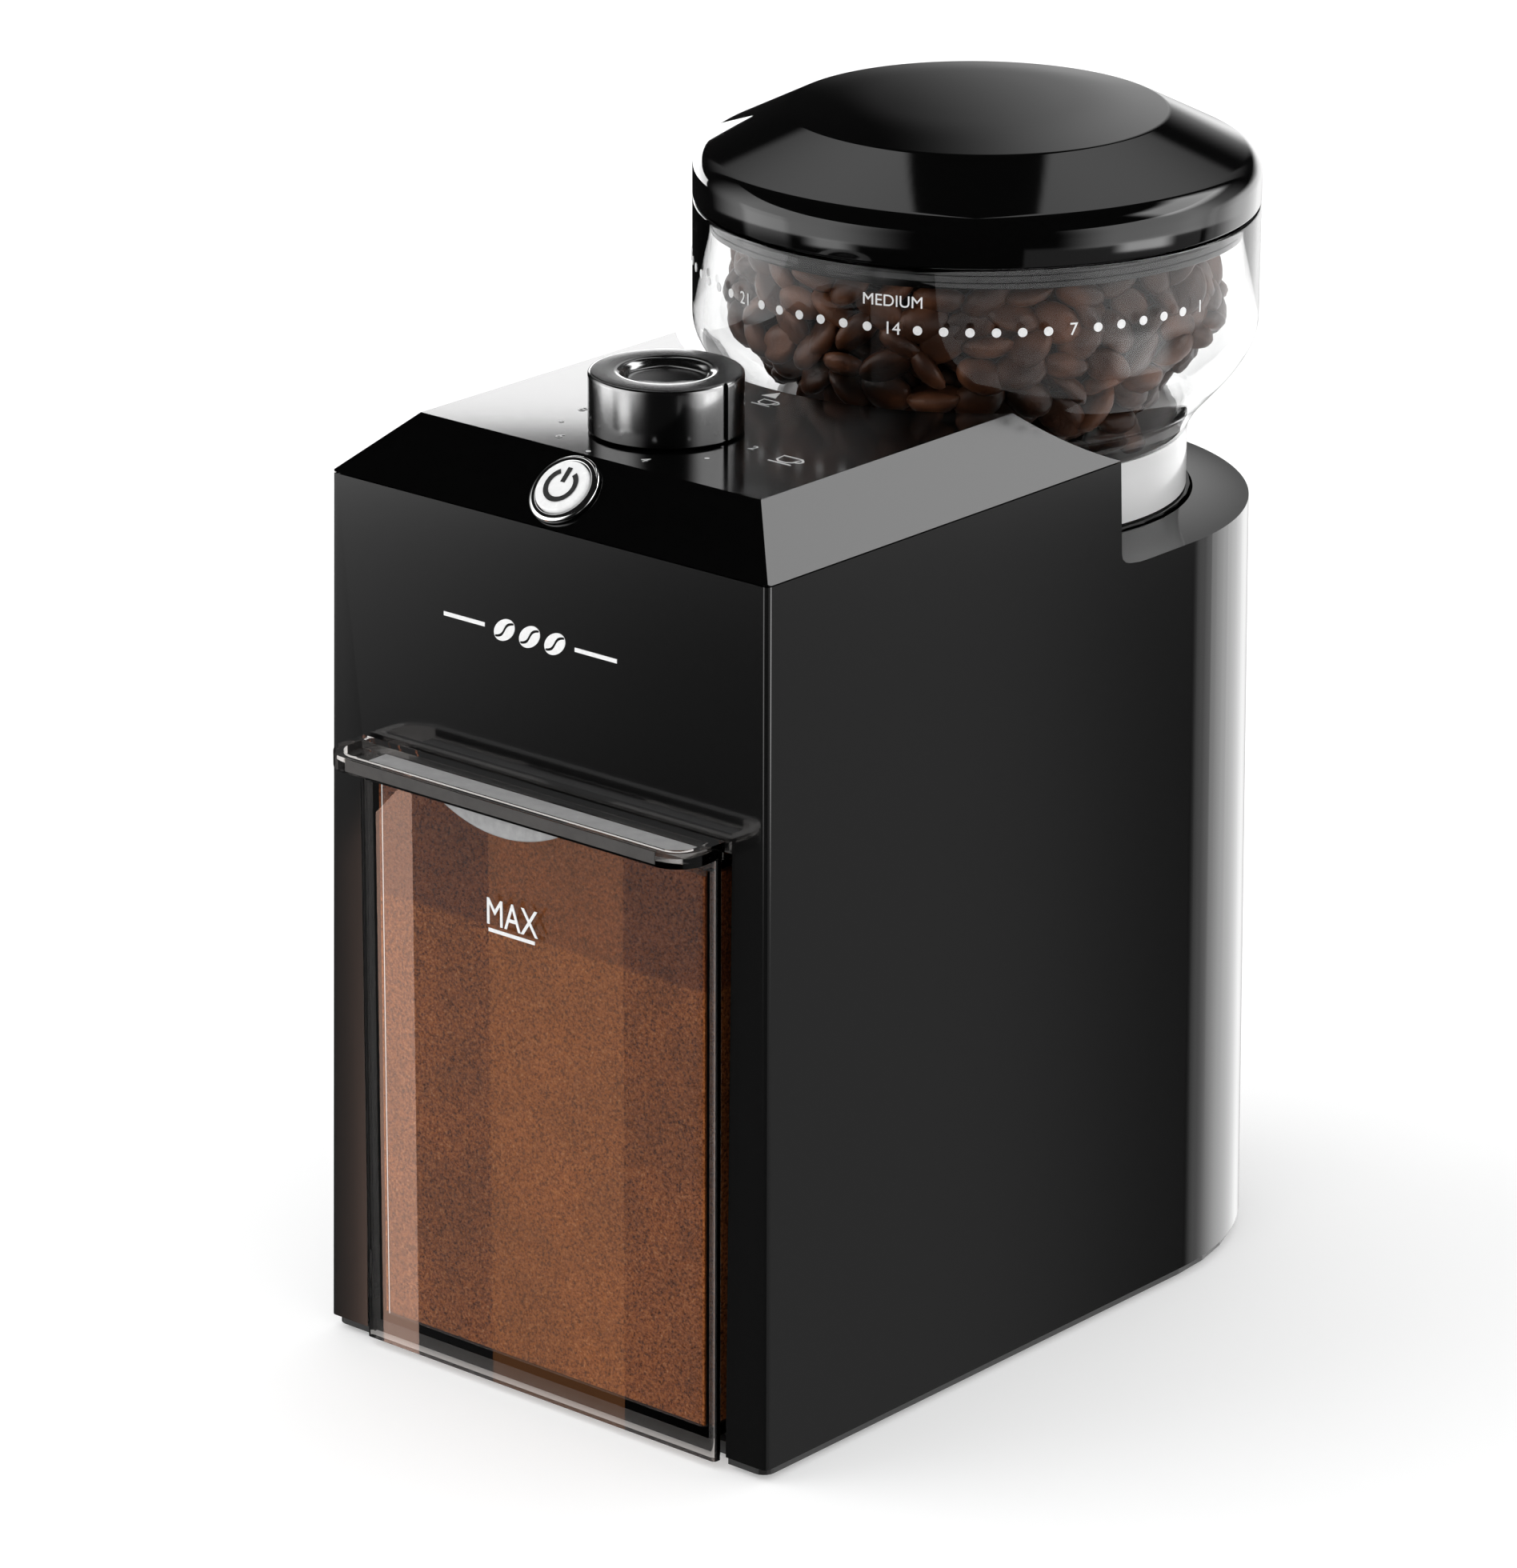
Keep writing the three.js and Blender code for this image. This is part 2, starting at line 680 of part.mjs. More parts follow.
function coolingFan() {
  const blade = (angle) => box(6, 17.5, -0.8, 0.8, 97, 102.6).rotate([0, 0, angle]);
  const blades = Array.from({ length: 9 }, (_, i) => blade(40 * i));
  return cut(
    join(disc(18, 96.6, 98, MEDIUM), disc(7, 97, 103, SMALL + 6), ...blades),
    disc(motorShaftRadius + gap, 90, 110, SMALL),
  );
}

// ---- Hopper and lid ----
function hopper() {
  const outer = [
    [neckRadius, neckBottom],
    [neckRadius, 187.6],
    [47.2, 190],
    [49.2, 192.4],
    [57.8, 201.9],
    [60.4, 205.2],
    [hopperRadius, 208.6],
    [hopperRadius, hopperTop],
  ];
  const inner = outer.slice(2).map(([r, z]) => [r - hopperWall, z]).reverse();
  const funnel = [
    [neckRadius - hopperWall, 186.5],
    [29.5, 180],
    [29.5, 167],
    [32.2, 167],
    [32.2, 178.4],
    [neckRadius - hopperWall, 183.6],
    [neckRadius - hopperWall, neckBottom],
  ];
  return turned([...outer, ...inner, ...funnel], FINE);
}

const plugRadius = 58.8;
const plugBottom = 232;
const gasketBottom = 233.4;
const gasketTop = 235.2;

function hopperLid() {
  const skin = 2.2;
  const dome = [
    [hopperRadius, lidRimBottom],
    [hopperRadius, lidRimTop],
    [60.7, 246.1],
    [58.6, 247.7],
    [41.2, 256.4],
    [28, 258.4],
    [14, 259.3],
    [0, lidHeight],
  ];
  const underside = [
    [0, lidHeight - skin],
    [28, 258.2 - skin],
    [40.6, 256.2 - skin],
    [56.4, 246],
    [56.4, plugBottom],
    [plugRadius, plugBottom],
    [plugRadius, gasketBottom],
    [plugRadius - 1.2, gasketBottom],
    [plugRadius - 1.2, gasketTop],
    [plugRadius, gasketTop],
    [plugRadius, lidRimBottom],
  ];
  const outline = [...dome, ...underside].map(([r, z]) => new THREE.Vector2(r, z));
  const geometry = new THREE.LatheGeometry([...outline.slice(8), ...outline.slice(0, 8)], FINE);
  geometry.rotateX(Math.PI / 2);
  return solidOf(geometry);
}

const lidGasket = () =>
  turned(
    [
      [plugRadius - 0.9, gasketBottom + 0.25],
      [plugRadius + 0.1, gasketBottom + 0.25],
      [plugRadius + 0.1, gasketTop - 0.25],
      [plugRadius - 0.9, gasketTop - 0.25],
    ],
    FINE,
  );

// ---- Controls ----
const pointerWidth = 1.6;

function cupDial() {
  const bottom = deckHeight + 0.5;
  const body = spun(
    [
      [0, dialTop - 2.6],
      [6, dialTop - 2.3],
      [9.8, dialTop - 0.4],
      [dialRadius - 0.7, dialTop],
      [dialRadius, dialTop - 0.7],
      [dialRadius, bottom],
      [dialRadius - 2.2, bottom],
      [dialRadius - 2.2, dialTop - 4.8],
      [6.4, dialTop - 4.8],
      [6.4, bottom + 1],
      [3.3, bottom + 1],
      [3.3, dialTop - 5.4],
      [0, dialTop - 5.4],
    ].reverse(),
    MEDIUM + 8,
  );
  const groove = box(dialRadius - 0.7, dialRadius + 1, -pointerWidth / 2, pointerWidth / 2, bottom - 1, dialTop + 1);
  return cut(body, groove);
}

const dialShaft = () => disc(3, 194, dialTop - 5.8, SMALL);
const potentiometer = () =>
  join(
    ring(3.3, 4.5, 192, 203.4, SMALL + 6),
    cut(box(-9, 9, -9, 9, boardTop + gap, 193), disc(3.3, 193 - 0.01, 200, SMALL + 6)),
  );

function controlBoard() {
  const board = box(-40, 40, -124, -78, boardTop - 1.6, boardTop);
  const relay = box(-36, -22, -120, -104, boardTop - 0.2, boardTop + 10);
  const supply = box(18, 36, -121, -98, boardTop - 14, boardTop - 1);
  const capacitor = disc(6, boardTop - 18, boardTop - 1, SMALL + 6).translate([-24, -94, 0]);
  const holes = boardPosts.map(([x, y]) => disc(1.7, boardTop - 4, boardTop + 3, SMALL).translate([x, y, 0]));
  return cut(join(board, relay, supply, capacitor), ...holes);
}

const buttonBezel = () =>
  turned(
    [
      [buttonRadius + gap, -5],
      [bezelRadius - 0.8, -5],
      [bezelRadius - 0.8, gap],
      [bezelRadius, gap],
      [bezelRadius, 1],
      [bezelRadius - 0.6, 1.5],
      [buttonRadius + gap, 1.5],
    ],
    MEDIUM,
  );
const powerButton = () =>
  spun(
    [[0, -6], [2.5, -6], [2.5, -2.4], [buttonRadius, -2.4], [buttonRadius, 1.7], [buttonRadius - 0.5, 2.2], [0, 2.4]],
    MEDIUM,
  );

// The button's return spring, drawn as a plain closed sleeve in the room the coil takes up.
const buttonSpring = () => ring(3, 4.2, -8.2, -2.7, SMALL + 6);
const startSwitch = () => join(box(-6, 6, -6, 6, -14, -10), disc(2.2, -11, -8.4, SMALL));

const microswitch = (x0, x1, y0, y1, z0, z1, lever) => join(box(x0, x1, y0, y1, z0, z1), lever);

// ---- Materials ----
const finish = (color, roughness, metalness = 0, extra = {}) =>
  new THREE.MeshStandardMaterial({ color, roughness, metalness, ...extra });
const clear = { transparent: true, opacity: 0.3 };
const finishes = {
  bodyPlastic: finish("#17181a", 0.32),
  glossBlack: finish("#08080a", 0.12),
  lidPlastic: finish("#1c1d1f", 0.28),
  dialPlastic: finish("#222325", 0.3),
  clearPlastic: finish("#f4f6f6", 0.05, 0, clear),
  smokedPlastic: finish("#5d5650", 0.08, 0, clear),
  innerPlastic: finish("#3a3c3e", 0.6),
  whitePlastic: finish("#e4e2da", 0.5),
  chrome: finish("#d9dcde", 0.12, 1),
  burrSteel: finish("#9a9c9e", 0.35, 1),
  zincSteel: finish("#b8bcc0", 0.3, 1),
  canSteel: finish("#8d9194", 0.4, 1),
  magnetBlack: finish("#2a2a2c", 0.7),
  copper: finish("#b06a3a", 0.35, 1),
  bronze: finish("#a8874e", 0.4, 1),
  gearPlastic: finish("#d8d2bf", 0.5),
  boardGreen: finish("#1f5a38", 0.5),
  rubber: finish("#141414", 0.9),
  carbon: finish("#303034", 0.8),
};

// ---- Assembly ----
const aboutAxis = new THREE.Group();

function add(name, solid, material, place = [0, 0, 0]) {
  const mesh = new THREE.Mesh(geometryOf(solid), finishes[material]);
  mesh.name = name;
  mesh.position.set(...place);
  aboutAxis.add(mesh);
}

add("body_housing", bodyHousing(), "bodyPlastic");
add("top_cover", topCover(), "glossBlack");
add("base_plate", basePlate(), "innerPlastic");
for (const [name, [x, y]] of Object.entries(feet)) add(name, foot(), "rubber", [x, y, 0]);
bossPlaces.forEach(([x, y], i) => add(`base_screw_${i + 1}`, screw(3, 1.3, 1.4, 12.5), "zincSteel", [x, y, 1.4]));
add("cord_gland", cordGland(), "rubber");

add("drawer_bay", drawerBay(), "innerPlastic");
add("grounds_container", groundsContainer(), "smokedPlastic");
add("container_lid", containerLid(), "smokedPlastic");
add(
  "container_switch",
  microswitch(-10, 10, 2 - bayBack, 8.5 - bayBack, 84, 95, box(-8, 8, 2 - bayBack, 3 - bayBack, 94, 98)),
  "magnetBlack",
);

add("gearbox_case", gearboxCase(), "innerPlastic");
add("burr_chamber", burrChamber(), "innerPlastic");
caseScrewPlaces.forEach(([x, y], i) =>
  add(`chamber_screw_${i + 1}`, screw(3.3, 2, 1.4, 11).rotate([180, 0, 0]), "zincSteel", [x, y, chamberFloor + 5.3]),
);
add("discharge_chute", dischargeChute(), "innerPlastic");
add(
  "hopper_switch",
  microswitch(-54, -46.5, -10, 10, 148, 160, box(-52, -48, -8, 6, 159, 162.4)),
  "magnetBlack",
);
add("spindle_bush_lower", bush(spindleRadius + 0.2, spindleRadius + 3, 9, 112.6, caseBottom + 4.3), "bronze");
add(
  "spindle_bush_upper",
  bush(spindleRadius + 0.2, spindleRadius + 3, 9, chamberFloor - 1.6, chamberFloor + 4.3),
  "bronze",
);
add("spindle_shaft", spindleShaft(), "zincSteel");
add("drive_gear", driveGear(), "gearPlastic");
add("impeller", impeller(), "whitePlastic");
add("lower_burr", lowerBurr(), "burrSteel");
add("burr_nut", burrNut(), "zincSteel");
add("burr_carrier", burrCarrier(), "innerPlastic");
add("upper_burr", upperBurr(), "burrSteel");
add("adjust_ring", adjustRing(), "glossBlack");

const motorPlace = [0, motorY, 0];
add("motor_can", motorCan(), "canSteel", motorPlace);
add("motor_end_bell", endBell(), "magnetBlack", motorPlace);
add("motor_damper", ring(10, 22, motorTop + gap, caseBottom - gap), "rubber", motorPlace);
add("magnet_left", magnet(-1), "magnetBlack", motorPlace);
add("magnet_right", magnet(1), "magnetBlack", motorPlace);
add("motor_bush_top", ring(motorShaftRadius + 0.2, 4.9, motorTop - 3, motorTop + 3), "bronze", motorPlace);
add("motor_bush_bottom", ring(motorShaftRadius + 0.2, 4.9, 33, motorBottom), "bronze", motorPlace);
add("brush_left", box(-16, -7.1, -2.2, 2.2, 45.4, 50.4), "carbon", motorPlace);
add("brush_right", box(7.1, 16, -2.2, 2.2, 45.4, 50.4), "carbon", motorPlace);
add("motor_shaft", disc(motorShaftRadius, 30, gearTop + 1, SMALL), "zincSteel", motorPlace);
add("armature", armature(), "copper", motorPlace);
add("commutator", commutator(), "copper", motorPlace);
add("cooling_fan", coolingFan(), "whitePlastic", motorPlace);
add("motor_pinion", pinion(), "bronze", motorPlace);

add("hopper", hopper(), "clearPlastic");
add("hopper_lid", hopperLid(), "lidPlastic");
add("lid_gasket", lidGasket(), "rubber");

const dialPlace = [0, dialY, 0];
add("cup_dial", cupDial(), "dialPlastic", dialPlace);
add("dial_shaft", dialShaft(), "zincSteel", dialPlace);
add("dial_potentiometer", potentiometer(), "canSteel", dialPlace);
add("control_board", controlBoard(), "boardGreen");
boardPosts.forEach(([x, y], i) =>
  add(`board_screw_${i + 1}`, screw(2.8, 1.6, 1.1, 8.6), "zincSteel", [x, y, boardTop - 1.6 - gap - 1.6]),
);
add("button_bezel", onChamfer(buttonBezel()), "chrome");
add("power_button", onChamfer(powerButton()), "chrome");
add("button_spring", onChamfer(buttonSpring()), "zincSteel");
add("start_switch", onChamfer(startSwitch()), "magnetBlack");

// The origin is the middle of the base of everything together, from the lip to the round back.
const rearReach = bodyHalfWidth + draftSlope * (chamferBottom - shellBottom);
aboutAxis.position.y = (lipFront - rearReach) / 2;

const grinder = new THREE.Group();
grinder.add(aboutAxis);
export default grinder;
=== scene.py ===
"""The looks of the burr coffee grinder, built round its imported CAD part.

Sizes are in millimetres about the burr axis, with z = 0 on the worktop and -Y at the front. at() turns them
into metres in the part's own frame.
"""

import json
import math
import random

import bpy
from mathutils import Matrix, Vector


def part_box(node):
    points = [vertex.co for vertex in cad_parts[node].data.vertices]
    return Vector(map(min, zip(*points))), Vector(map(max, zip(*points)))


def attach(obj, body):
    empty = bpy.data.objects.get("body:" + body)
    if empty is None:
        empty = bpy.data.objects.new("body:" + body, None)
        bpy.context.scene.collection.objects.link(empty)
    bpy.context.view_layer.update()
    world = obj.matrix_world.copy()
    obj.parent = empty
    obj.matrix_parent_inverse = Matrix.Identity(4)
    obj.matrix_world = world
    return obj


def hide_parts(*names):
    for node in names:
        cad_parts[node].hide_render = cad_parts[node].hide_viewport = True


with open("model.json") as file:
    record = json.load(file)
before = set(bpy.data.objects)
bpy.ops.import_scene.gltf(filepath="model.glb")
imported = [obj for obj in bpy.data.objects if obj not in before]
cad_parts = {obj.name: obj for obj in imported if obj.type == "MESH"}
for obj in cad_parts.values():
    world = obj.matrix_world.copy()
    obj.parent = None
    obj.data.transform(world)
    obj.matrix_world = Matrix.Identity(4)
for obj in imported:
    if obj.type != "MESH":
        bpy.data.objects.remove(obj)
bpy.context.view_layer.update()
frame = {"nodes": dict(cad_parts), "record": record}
hopper_low, hopper_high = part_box("hopper")
axis_y = (hopper_low.y + hopper_high.y) / 2

# ---- Sizes shared by several pieces ----
half_width = 60
corner_radius = 1.3
body_front = 139.3
chamfer_bottom = 194.7
deck_height = 207.1
chamfer_inset = 13.3
draft = 0.012
wall = 2.8
shelf_height = 170.8
shelf_rise = 1.6
neck_hole = 48
rear_cut = 65
gland_height = 16
gland_radius = 6
opening_half = 51.3
opening_top = 136.3

panel_half = 49.8
panel_front = 143.4
panel_bottom = 1.9
tub_half = 47.8
tub_back = 50
tub_bottom = 6.1
tub_top = 132
plastic = 2
lip_half = 50.3
lip_front = 154.5
lip_top = 139
lip_thickness = 3.4
lip_trough = 1.7
fill_line = 105

hopper_radius = 61.4
hopper_wall = 2.2
neck_radius = 46.5
neck_top = 187
arrow_turn = -67.6
dots_height = 223.5
word_height = 229.4
dial_radius = 16.3
dial_y = -101.6
dial_top = 220
button_radius = 6.2
bezel_radius = 8.1


def at(x, y, z):
    return Vector((x / 1000, y / 1000 + axis_y, z / 1000))


# ---- Outlines and profiles ----
def arc(cx, cy, radius, start, end, steps):
    turn = [math.radians(start + (end - start) * i / steps) for i in range(steps + 1)]
    return [(cx + radius * math.cos(a), cy + radius * math.sin(a)) for a in turn]


def rounded(points, closed=False, steps=5):
    """Rounds the corners of a path. A point's third number says how far its rounding reaches each way."""
    count = len(points)
    path = []
    for i, point in enumerate(points):
        reach = point[2] if len(point) > 2 else 0
        if reach == 0 or (not closed and i in (0, count - 1)):
            path.append(tuple(point[:2]))
            continue
        corner = Vector(point[:2])
        before = Vector(points[i - 1][:2]) - corner
        after = Vector(points[(i + 1) % count][:2]) - corner
        start = corner + before.normalized() * min(reach, before.length * 0.49)
        end = corner + after.normalized() * min(reach, after.length * 0.49)
        for k in range(steps + 1):
            s = k / steps
            spot = start * (1 - s) ** 2 + corner * 2 * s * (1 - s) + end * s * s
            path.append(tuple(spot))
    return path


def rectangle(x0, x1, y0, y1, radius=0, steps=6):
    if radius == 0:
        return [(x1, y1), (x0, y1), (x0, y0), (x1, y0)]
    return [
        *arc(x1 - radius, y1 - radius, radius, 0, 90, steps),
        *arc(x0 + radius, y1 - radius, radius, 90, 180, steps),
        *arc(x0 + radius, y0 + radius, radius, 180, 270, steps),
        *arc(x1 - radius, y0 + radius, radius, 270, 360, steps),
    ]


# ---- Meshes ----
def piece_of(name, points, faces):
    mesh = bpy.data.meshes.new(name)
    mesh.from_pydata(points, [], faces)
    mesh.update()
    piece = bpy.data.objects.new(name, mesh)
    bpy.context.scene.collection.objects.link(piece)
    return piece


def prism(name, outline, z0, z1, leaning=False):
    """An outline raised from z0 to z1. A leaning one widens towards the base, as the casing does."""
    points = []
    for z in (z0, z1):
        lean = draft * (chamfer_bottom - z) if leaning else 0
        for x, y in outline:
            reach = half_width if y > 0 else body_front
            points.append(at(x * (1 + lean / half_width), y * (1 + lean / reach), z))
    n = len(outline)
    sides = [(i, (i + 1) % n, n + (i + 1) % n, n + i) for i in range(n)]
    return piece_of(name, points, [tuple(range(n))[::-1], tuple(range(n, 2 * n)), *sides])


def box(name, x0, x1, y0, y1, z0, z1):
    return prism(name, rectangle(x0, x1, y0, y1), z0, z1)


def bar(name, outline, along, start, end):
    """An outline drawn across X or Y against Z, and stretched along the other one."""
    n = len(outline)
    if along == "y":
        points = [at(u, level, z) for level in (end, start) for u, z in outline]
    else:
        points = [at(level, u, z) for level in (start, end) for u, z in outline]
    sides = [(i, (i + 1) % n, n + (i + 1) % n, n + i) for i in range(n)]
    return piece_of(name, points, [tuple(range(n))[::-1], tuple(range(n, 2 * n)), *sides])


def lathe(name, profile, steps=128, centre=(0, 0), place=None):
    """Turns a profile of (radius, height) about a vertical line.

    A profile that starts and ends on the line is closed there; any other closes on itself. place, if given,
    is a matrix that the shape is moved by.
    """
    on_axis = profile[0][0] == 0 and profile[-1][0] == 0
    points, rings = [], []
    for radius, z in profile:
        if radius == 0:
            rings.append([len(points)] * steps)
            points.append(Vector((0, 0, z)))
            continue
        rings.append(list(range(len(points), len(points) + steps)))
        points += [
            Vector((radius * math.cos(math.tau * i / steps), radius * math.sin(math.tau * i / steps), z))
            for i in range(steps)
        ]
    pairs = list(zip(rings, rings[1:]))
    if not on_axis:
        pairs.append((rings[-1], rings[0]))
    faces = []
    for low, high in pairs:
        for i in range(steps):
            corners = [low[i], low[(i + 1) % steps], high[(i + 1) % steps], high[i]]
            face = [c for k, c in enumerate(corners) if c not in corners[:k]]
            if len(face) > 2:
                faces.append(tuple(face))
    if place is not None:
        points = [at(*(place @ p)) for p in points]
    else:
        points = [at(p.x + centre[0], p.y + centre[1], p.z) for p in points]
    return piece_of(name, points, faces)


def drum(name, radius, z0, z1, centre=(0, 0), steps=128, place=None):
    return lathe(name, [(0, z0), (radius, z0), (radius, z1), (0, z1)], steps, centre, place)


def combine(base, tools, how="DIFFERENCE"):
    """Cuts the tools from the base, joins them to it or keeps what they share, and drops the tools."""
    for tool in tools:
        step = base.modifiers.new("combine", "BOOLEAN")
        step.operation = how
        step.solver = "EXACT"
        step.object = tool
    bpy.context.view_layer.update()
    depsgraph = bpy.context.evaluated_depsgraph_get()
    result = bpy.data.meshes.new_from_object(base.evaluated_get(depsgraph))
    base.modifiers.clear()
    base.data = result
    result.name = base.name
    for tool in tools:
        bpy.data.objects.remove(tool, do_unlink=True)
    return base


def smooth(piece, sharp_from=35):
    piece.data.shade_smooth()
    piece.data.set_sharp_from_angle(angle=math.radians(sharp_from))
    return piece


def shade_by_area(piece, sharp_from=40):
    """Smooth shading in which a large flat face keeps its own normal right up to its edges.

    Only the rounded edges beside it turn. Faces in one plane count as one patch, and each patch pulls at the
    normals of its corners by the square of its area, in square millimetres.
    """
    mesh = piece.data
    mesh.shade_smooth()
    faces = mesh.polygons
    patch = list(range(len(faces)))

    def first_of(i):
        while patch[i] != i:
            i = patch[i]
        return i

    beside, around = {}, {}
    for face in faces:
        for key in face.edge_keys:
            beside.setdefault(key, []).append(face.index)
        for vertex in face.vertices:
            around.setdefault(vertex, []).append(face.index)
    for pair in beside.values():
        if len(pair) == 2 and faces[pair[0]].normal.dot(faces[pair[1]].normal) > 0.99999:
            patch[first_of(pair[0])] = first_of(pair[1])
    areas = {}
    for face in faces:
        first = first_of(face.index)
        areas[first] = areas.get(first, 0) + face.area * 1e6
    normals = [Vector()] * len(mesh.loops)
    limit = math.cos(math.radians(sharp_from))
    for face in faces:
        for loop, vertex in zip(face.loop_indices, face.vertices):
            total = Vector()
            for other in around[vertex]:
                if faces[other].normal.dot(face.normal) > limit:
                    total += faces[other].normal * areas[first_of(other)] ** 2
            normals[loop] = total.normalized()
    mesh.normals_split_custom_set(normals)


def soften(piece, width, segments=3, from_angle=28):
    """Rounds every edge that turns by more than from_angle degrees."""
    edge = piece.modifiers.new("rounded edges", "BEVEL")
    edge.width = width / 1000
    edge.segments = segments
    edge.limit_method = "ANGLE"
    edge.angle_limit = math.radians(from_angle)
    edge.miter_outer = "MITER_ARC"
    combine(piece, [])
    shade_by_area(piece)
    return piece


def dress(piece, material, body, replaced=()):
    piece.data.materials.clear()
    piece.data.materials.append(material)
    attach(piece, body)
    if replaced:
        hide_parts(*replaced)
    return piece


# ---- Materials ----
def start_material(name):
    material = bpy.data.materials.new(name)
    material.use_nodes = True
    nodes = material.node_tree.nodes
    return material, nodes, material.node_tree.links, nodes["Principled BSDF"]


def noise(nodes, links, scale, detail=3, roughness=0.55, stretch=None):
    """Noise in the object's own metres; scale is grains per metre. stretch squeezes it along each axis."""
    place = nodes.new("ShaderNodeTexCoord")
    texture = nodes.new("ShaderNodeTexNoise")
    texture.inputs["Scale"].default_value = scale
    texture.inputs["Detail"].default_value = detail
    texture.inputs["Roughness"].default_value = roughness
    source = place.outputs["Object"]
    if stretch:
        mapping = nodes.new("ShaderNodeMapping")
        mapping.inputs["Scale"].default_value = stretch
        links.new(source, mapping.inputs["Vector"])
        source = mapping.outputs["Vector"]
    links.new(source, texture.inputs["Vector"])
    return texture.outputs["Fac"]


def ramp(nodes, links, value, stops):
    """Colours along a value from 0 to 1."""
    band = nodes.new("ShaderNodeValToRGB")
    elements = band.color_ramp.elements
    while len(elements) < len(stops):
        elements.new(0.5)
    for element, (position, colour) in zip(elements, stops):
        element.position = position
        element.color = (*colour, 1)
    links.new(value, band.inputs["Fac"])
    return band.outputs["Color"]


def spread(nodes, links, value, low, high):
    """A value from 0 to 1 moved to run from low to high."""
    change = nodes.new("ShaderNodeMapRange")
    change.inputs["To Min"].default_value = low
    change.inputs["To Max"].default_value = high
    links.new(value, change.inputs["Value"])
    return change.outputs["Result"]


def relief(nodes, links, value, depth):
    """A normal from a height; depth is in millimetres."""
    bump = nodes.new("ShaderNodeBump")
    bump.inputs["Distance"].default_value = depth / 1000
    links.new(value, bump.inputs["Height"])
    return bump.outputs["Normal"]


def multiplied(nodes, links, first, second):
    mix = nodes.new("ShaderNodeMix")
    mix.data_type = "RGBA"
    mix.blend_type = "MULTIPLY"
    mix.inputs["Factor"].default_value = 1
    links.new(first, mix.inputs[6])
    links.new(second, mix.inputs[7])
    return mix.outputs[2]


def grainy(name, dark, light, rough, scale=900, grain=0.004, metallic=0.0, stretch=None):
    """A finish whose colour, gloss and surface vary a little."""
    material, nodes, links, shader = start_material(name)
    spots = noise(nodes, links, scale, stretch=stretch)
    links.new(ramp(nodes, links, spots, [(0.3, dark), (0.7, light)]), shader.inputs["Base Color"])
    links.new(spread(nodes, links, spots, *rough), shader.inputs["Roughness"])
    if grain:
        links.new(relief(nodes, links, spots, grain), shader.inputs["Normal"])
    shader.inputs["Metallic"].default_value = metallic
    return material


def grey(level):
    return (level, level, level)


def clear_material(name, tint, rough, ior, transmission=1):
    """A clear moulding that lets lamps through to what is inside it."""
    material, nodes, links, shader = start_material(name)
    wave = noise(nodes, links, 90, detail=1)
    shader.inputs["Base Color"].default_value = (*tint, 1)
    shader.inputs["Transmission Weight"].default_value = transmission
    shader.inputs["IOR"].default_value = ior
    links.new(spread(nodes, links, wave, *rough), shader.inputs["Roughness"])
    through = nodes.new("ShaderNodeBsdfTransparent")
    through.inputs["Color"].default_value = (*tint, 1)
    paths = nodes.new("ShaderNodeLightPath")
    mix = nodes.new("ShaderNodeMixShader")
    links.new(paths.outputs["Is Shadow Ray"], mix.inputs["Fac"])
    links.new(shader.outputs["BSDF"], mix.inputs[1])
    links.new(through.outputs["BSDF"], mix.inputs[2])
    links.new(mix.outputs["Shader"], nodes["Material Output"].inputs["Surface"])
    return material


def ground_coffee(name):
    """Fine brown grains, with painted shade above the fill line that stands for the drawer's top shading
    them.
    """
    material, nodes, links, shader = start_material(name)
    grains = noise(nodes, links, 1500, detail=2, roughness=0.8)
    clumps = noise(nodes, links, 60, detail=3)
    browns = [
        (0.3, (0.1, 0.024, 0.006)),
        (0.5, (0.58, 0.18, 0.045)),
        (0.66, (0.86, 0.31, 0.09)),
        (0.8, (1.0, 0.7, 0.4)),
    ]
    fine = ramp(nodes, links, grains, browns)
    shade = ramp(nodes, links, clumps, [(0.35, (0.75, 0.75, 0.75)), (0.65, (1, 1, 1))])
    # Painted shade: above the fill line the grains are darkened by height, not by any lamp.
    place = nodes.new("ShaderNodeTexCoord")
    split = nodes.new("ShaderNodeSeparateXYZ")
    links.new(place.outputs["Object"], split.inputs["Vector"])
    level = nodes.new("ShaderNodeMapRange")
    level.inputs["From Min"].default_value = (fill_line - 0.5) / 1000
    level.inputs["From Max"].default_value = (fill_line + 0.5) / 1000
    links.new(split.outputs["Z"], level.inputs["Value"])
    height = ramp(nodes, links, level.outputs["Result"], [(0, (1, 1, 1)), (1, (0.6, 0.53, 0.6))])
    tone = multiplied(nodes, links, multiplied(nodes, links, fine, shade), height)
    links.new(tone, shader.inputs["Base Color"])
    links.new(relief(nodes, links, grains, 0.5), shader.inputs["Normal"])
    links.new(spread(nodes, links, grains, 0.6, 0.9), shader.inputs["Roughness"])
    shader.inputs["Specular IOR Level"].default_value = 0.15
    return material


def roasted(name):
    """Dark roasted beans with a slight oily shine."""
    material, nodes, links, shader = start_material(name)
    tone = noise(nodes, links, 70, detail=2)
    pores = noise(nodes, links, 900, detail=3)
    browns = [(0.3, (0.014, 0.005, 0.002)), (0.5, (0.05, 0.017, 0.007)), (0.7, (0.16, 0.062, 0.03))]
    links.new(ramp(nodes, links, tone, browns), shader.inputs["Base Color"])
    links.new(spread(nodes, links, pores, 0.28, 0.5), shader.inputs["Roughness"])
    links.new(relief(nodes, links, pores, 0.12), shader.inputs["Normal"])
    shader.inputs["Specular IOR Level"].default_value = 0.3
    return material


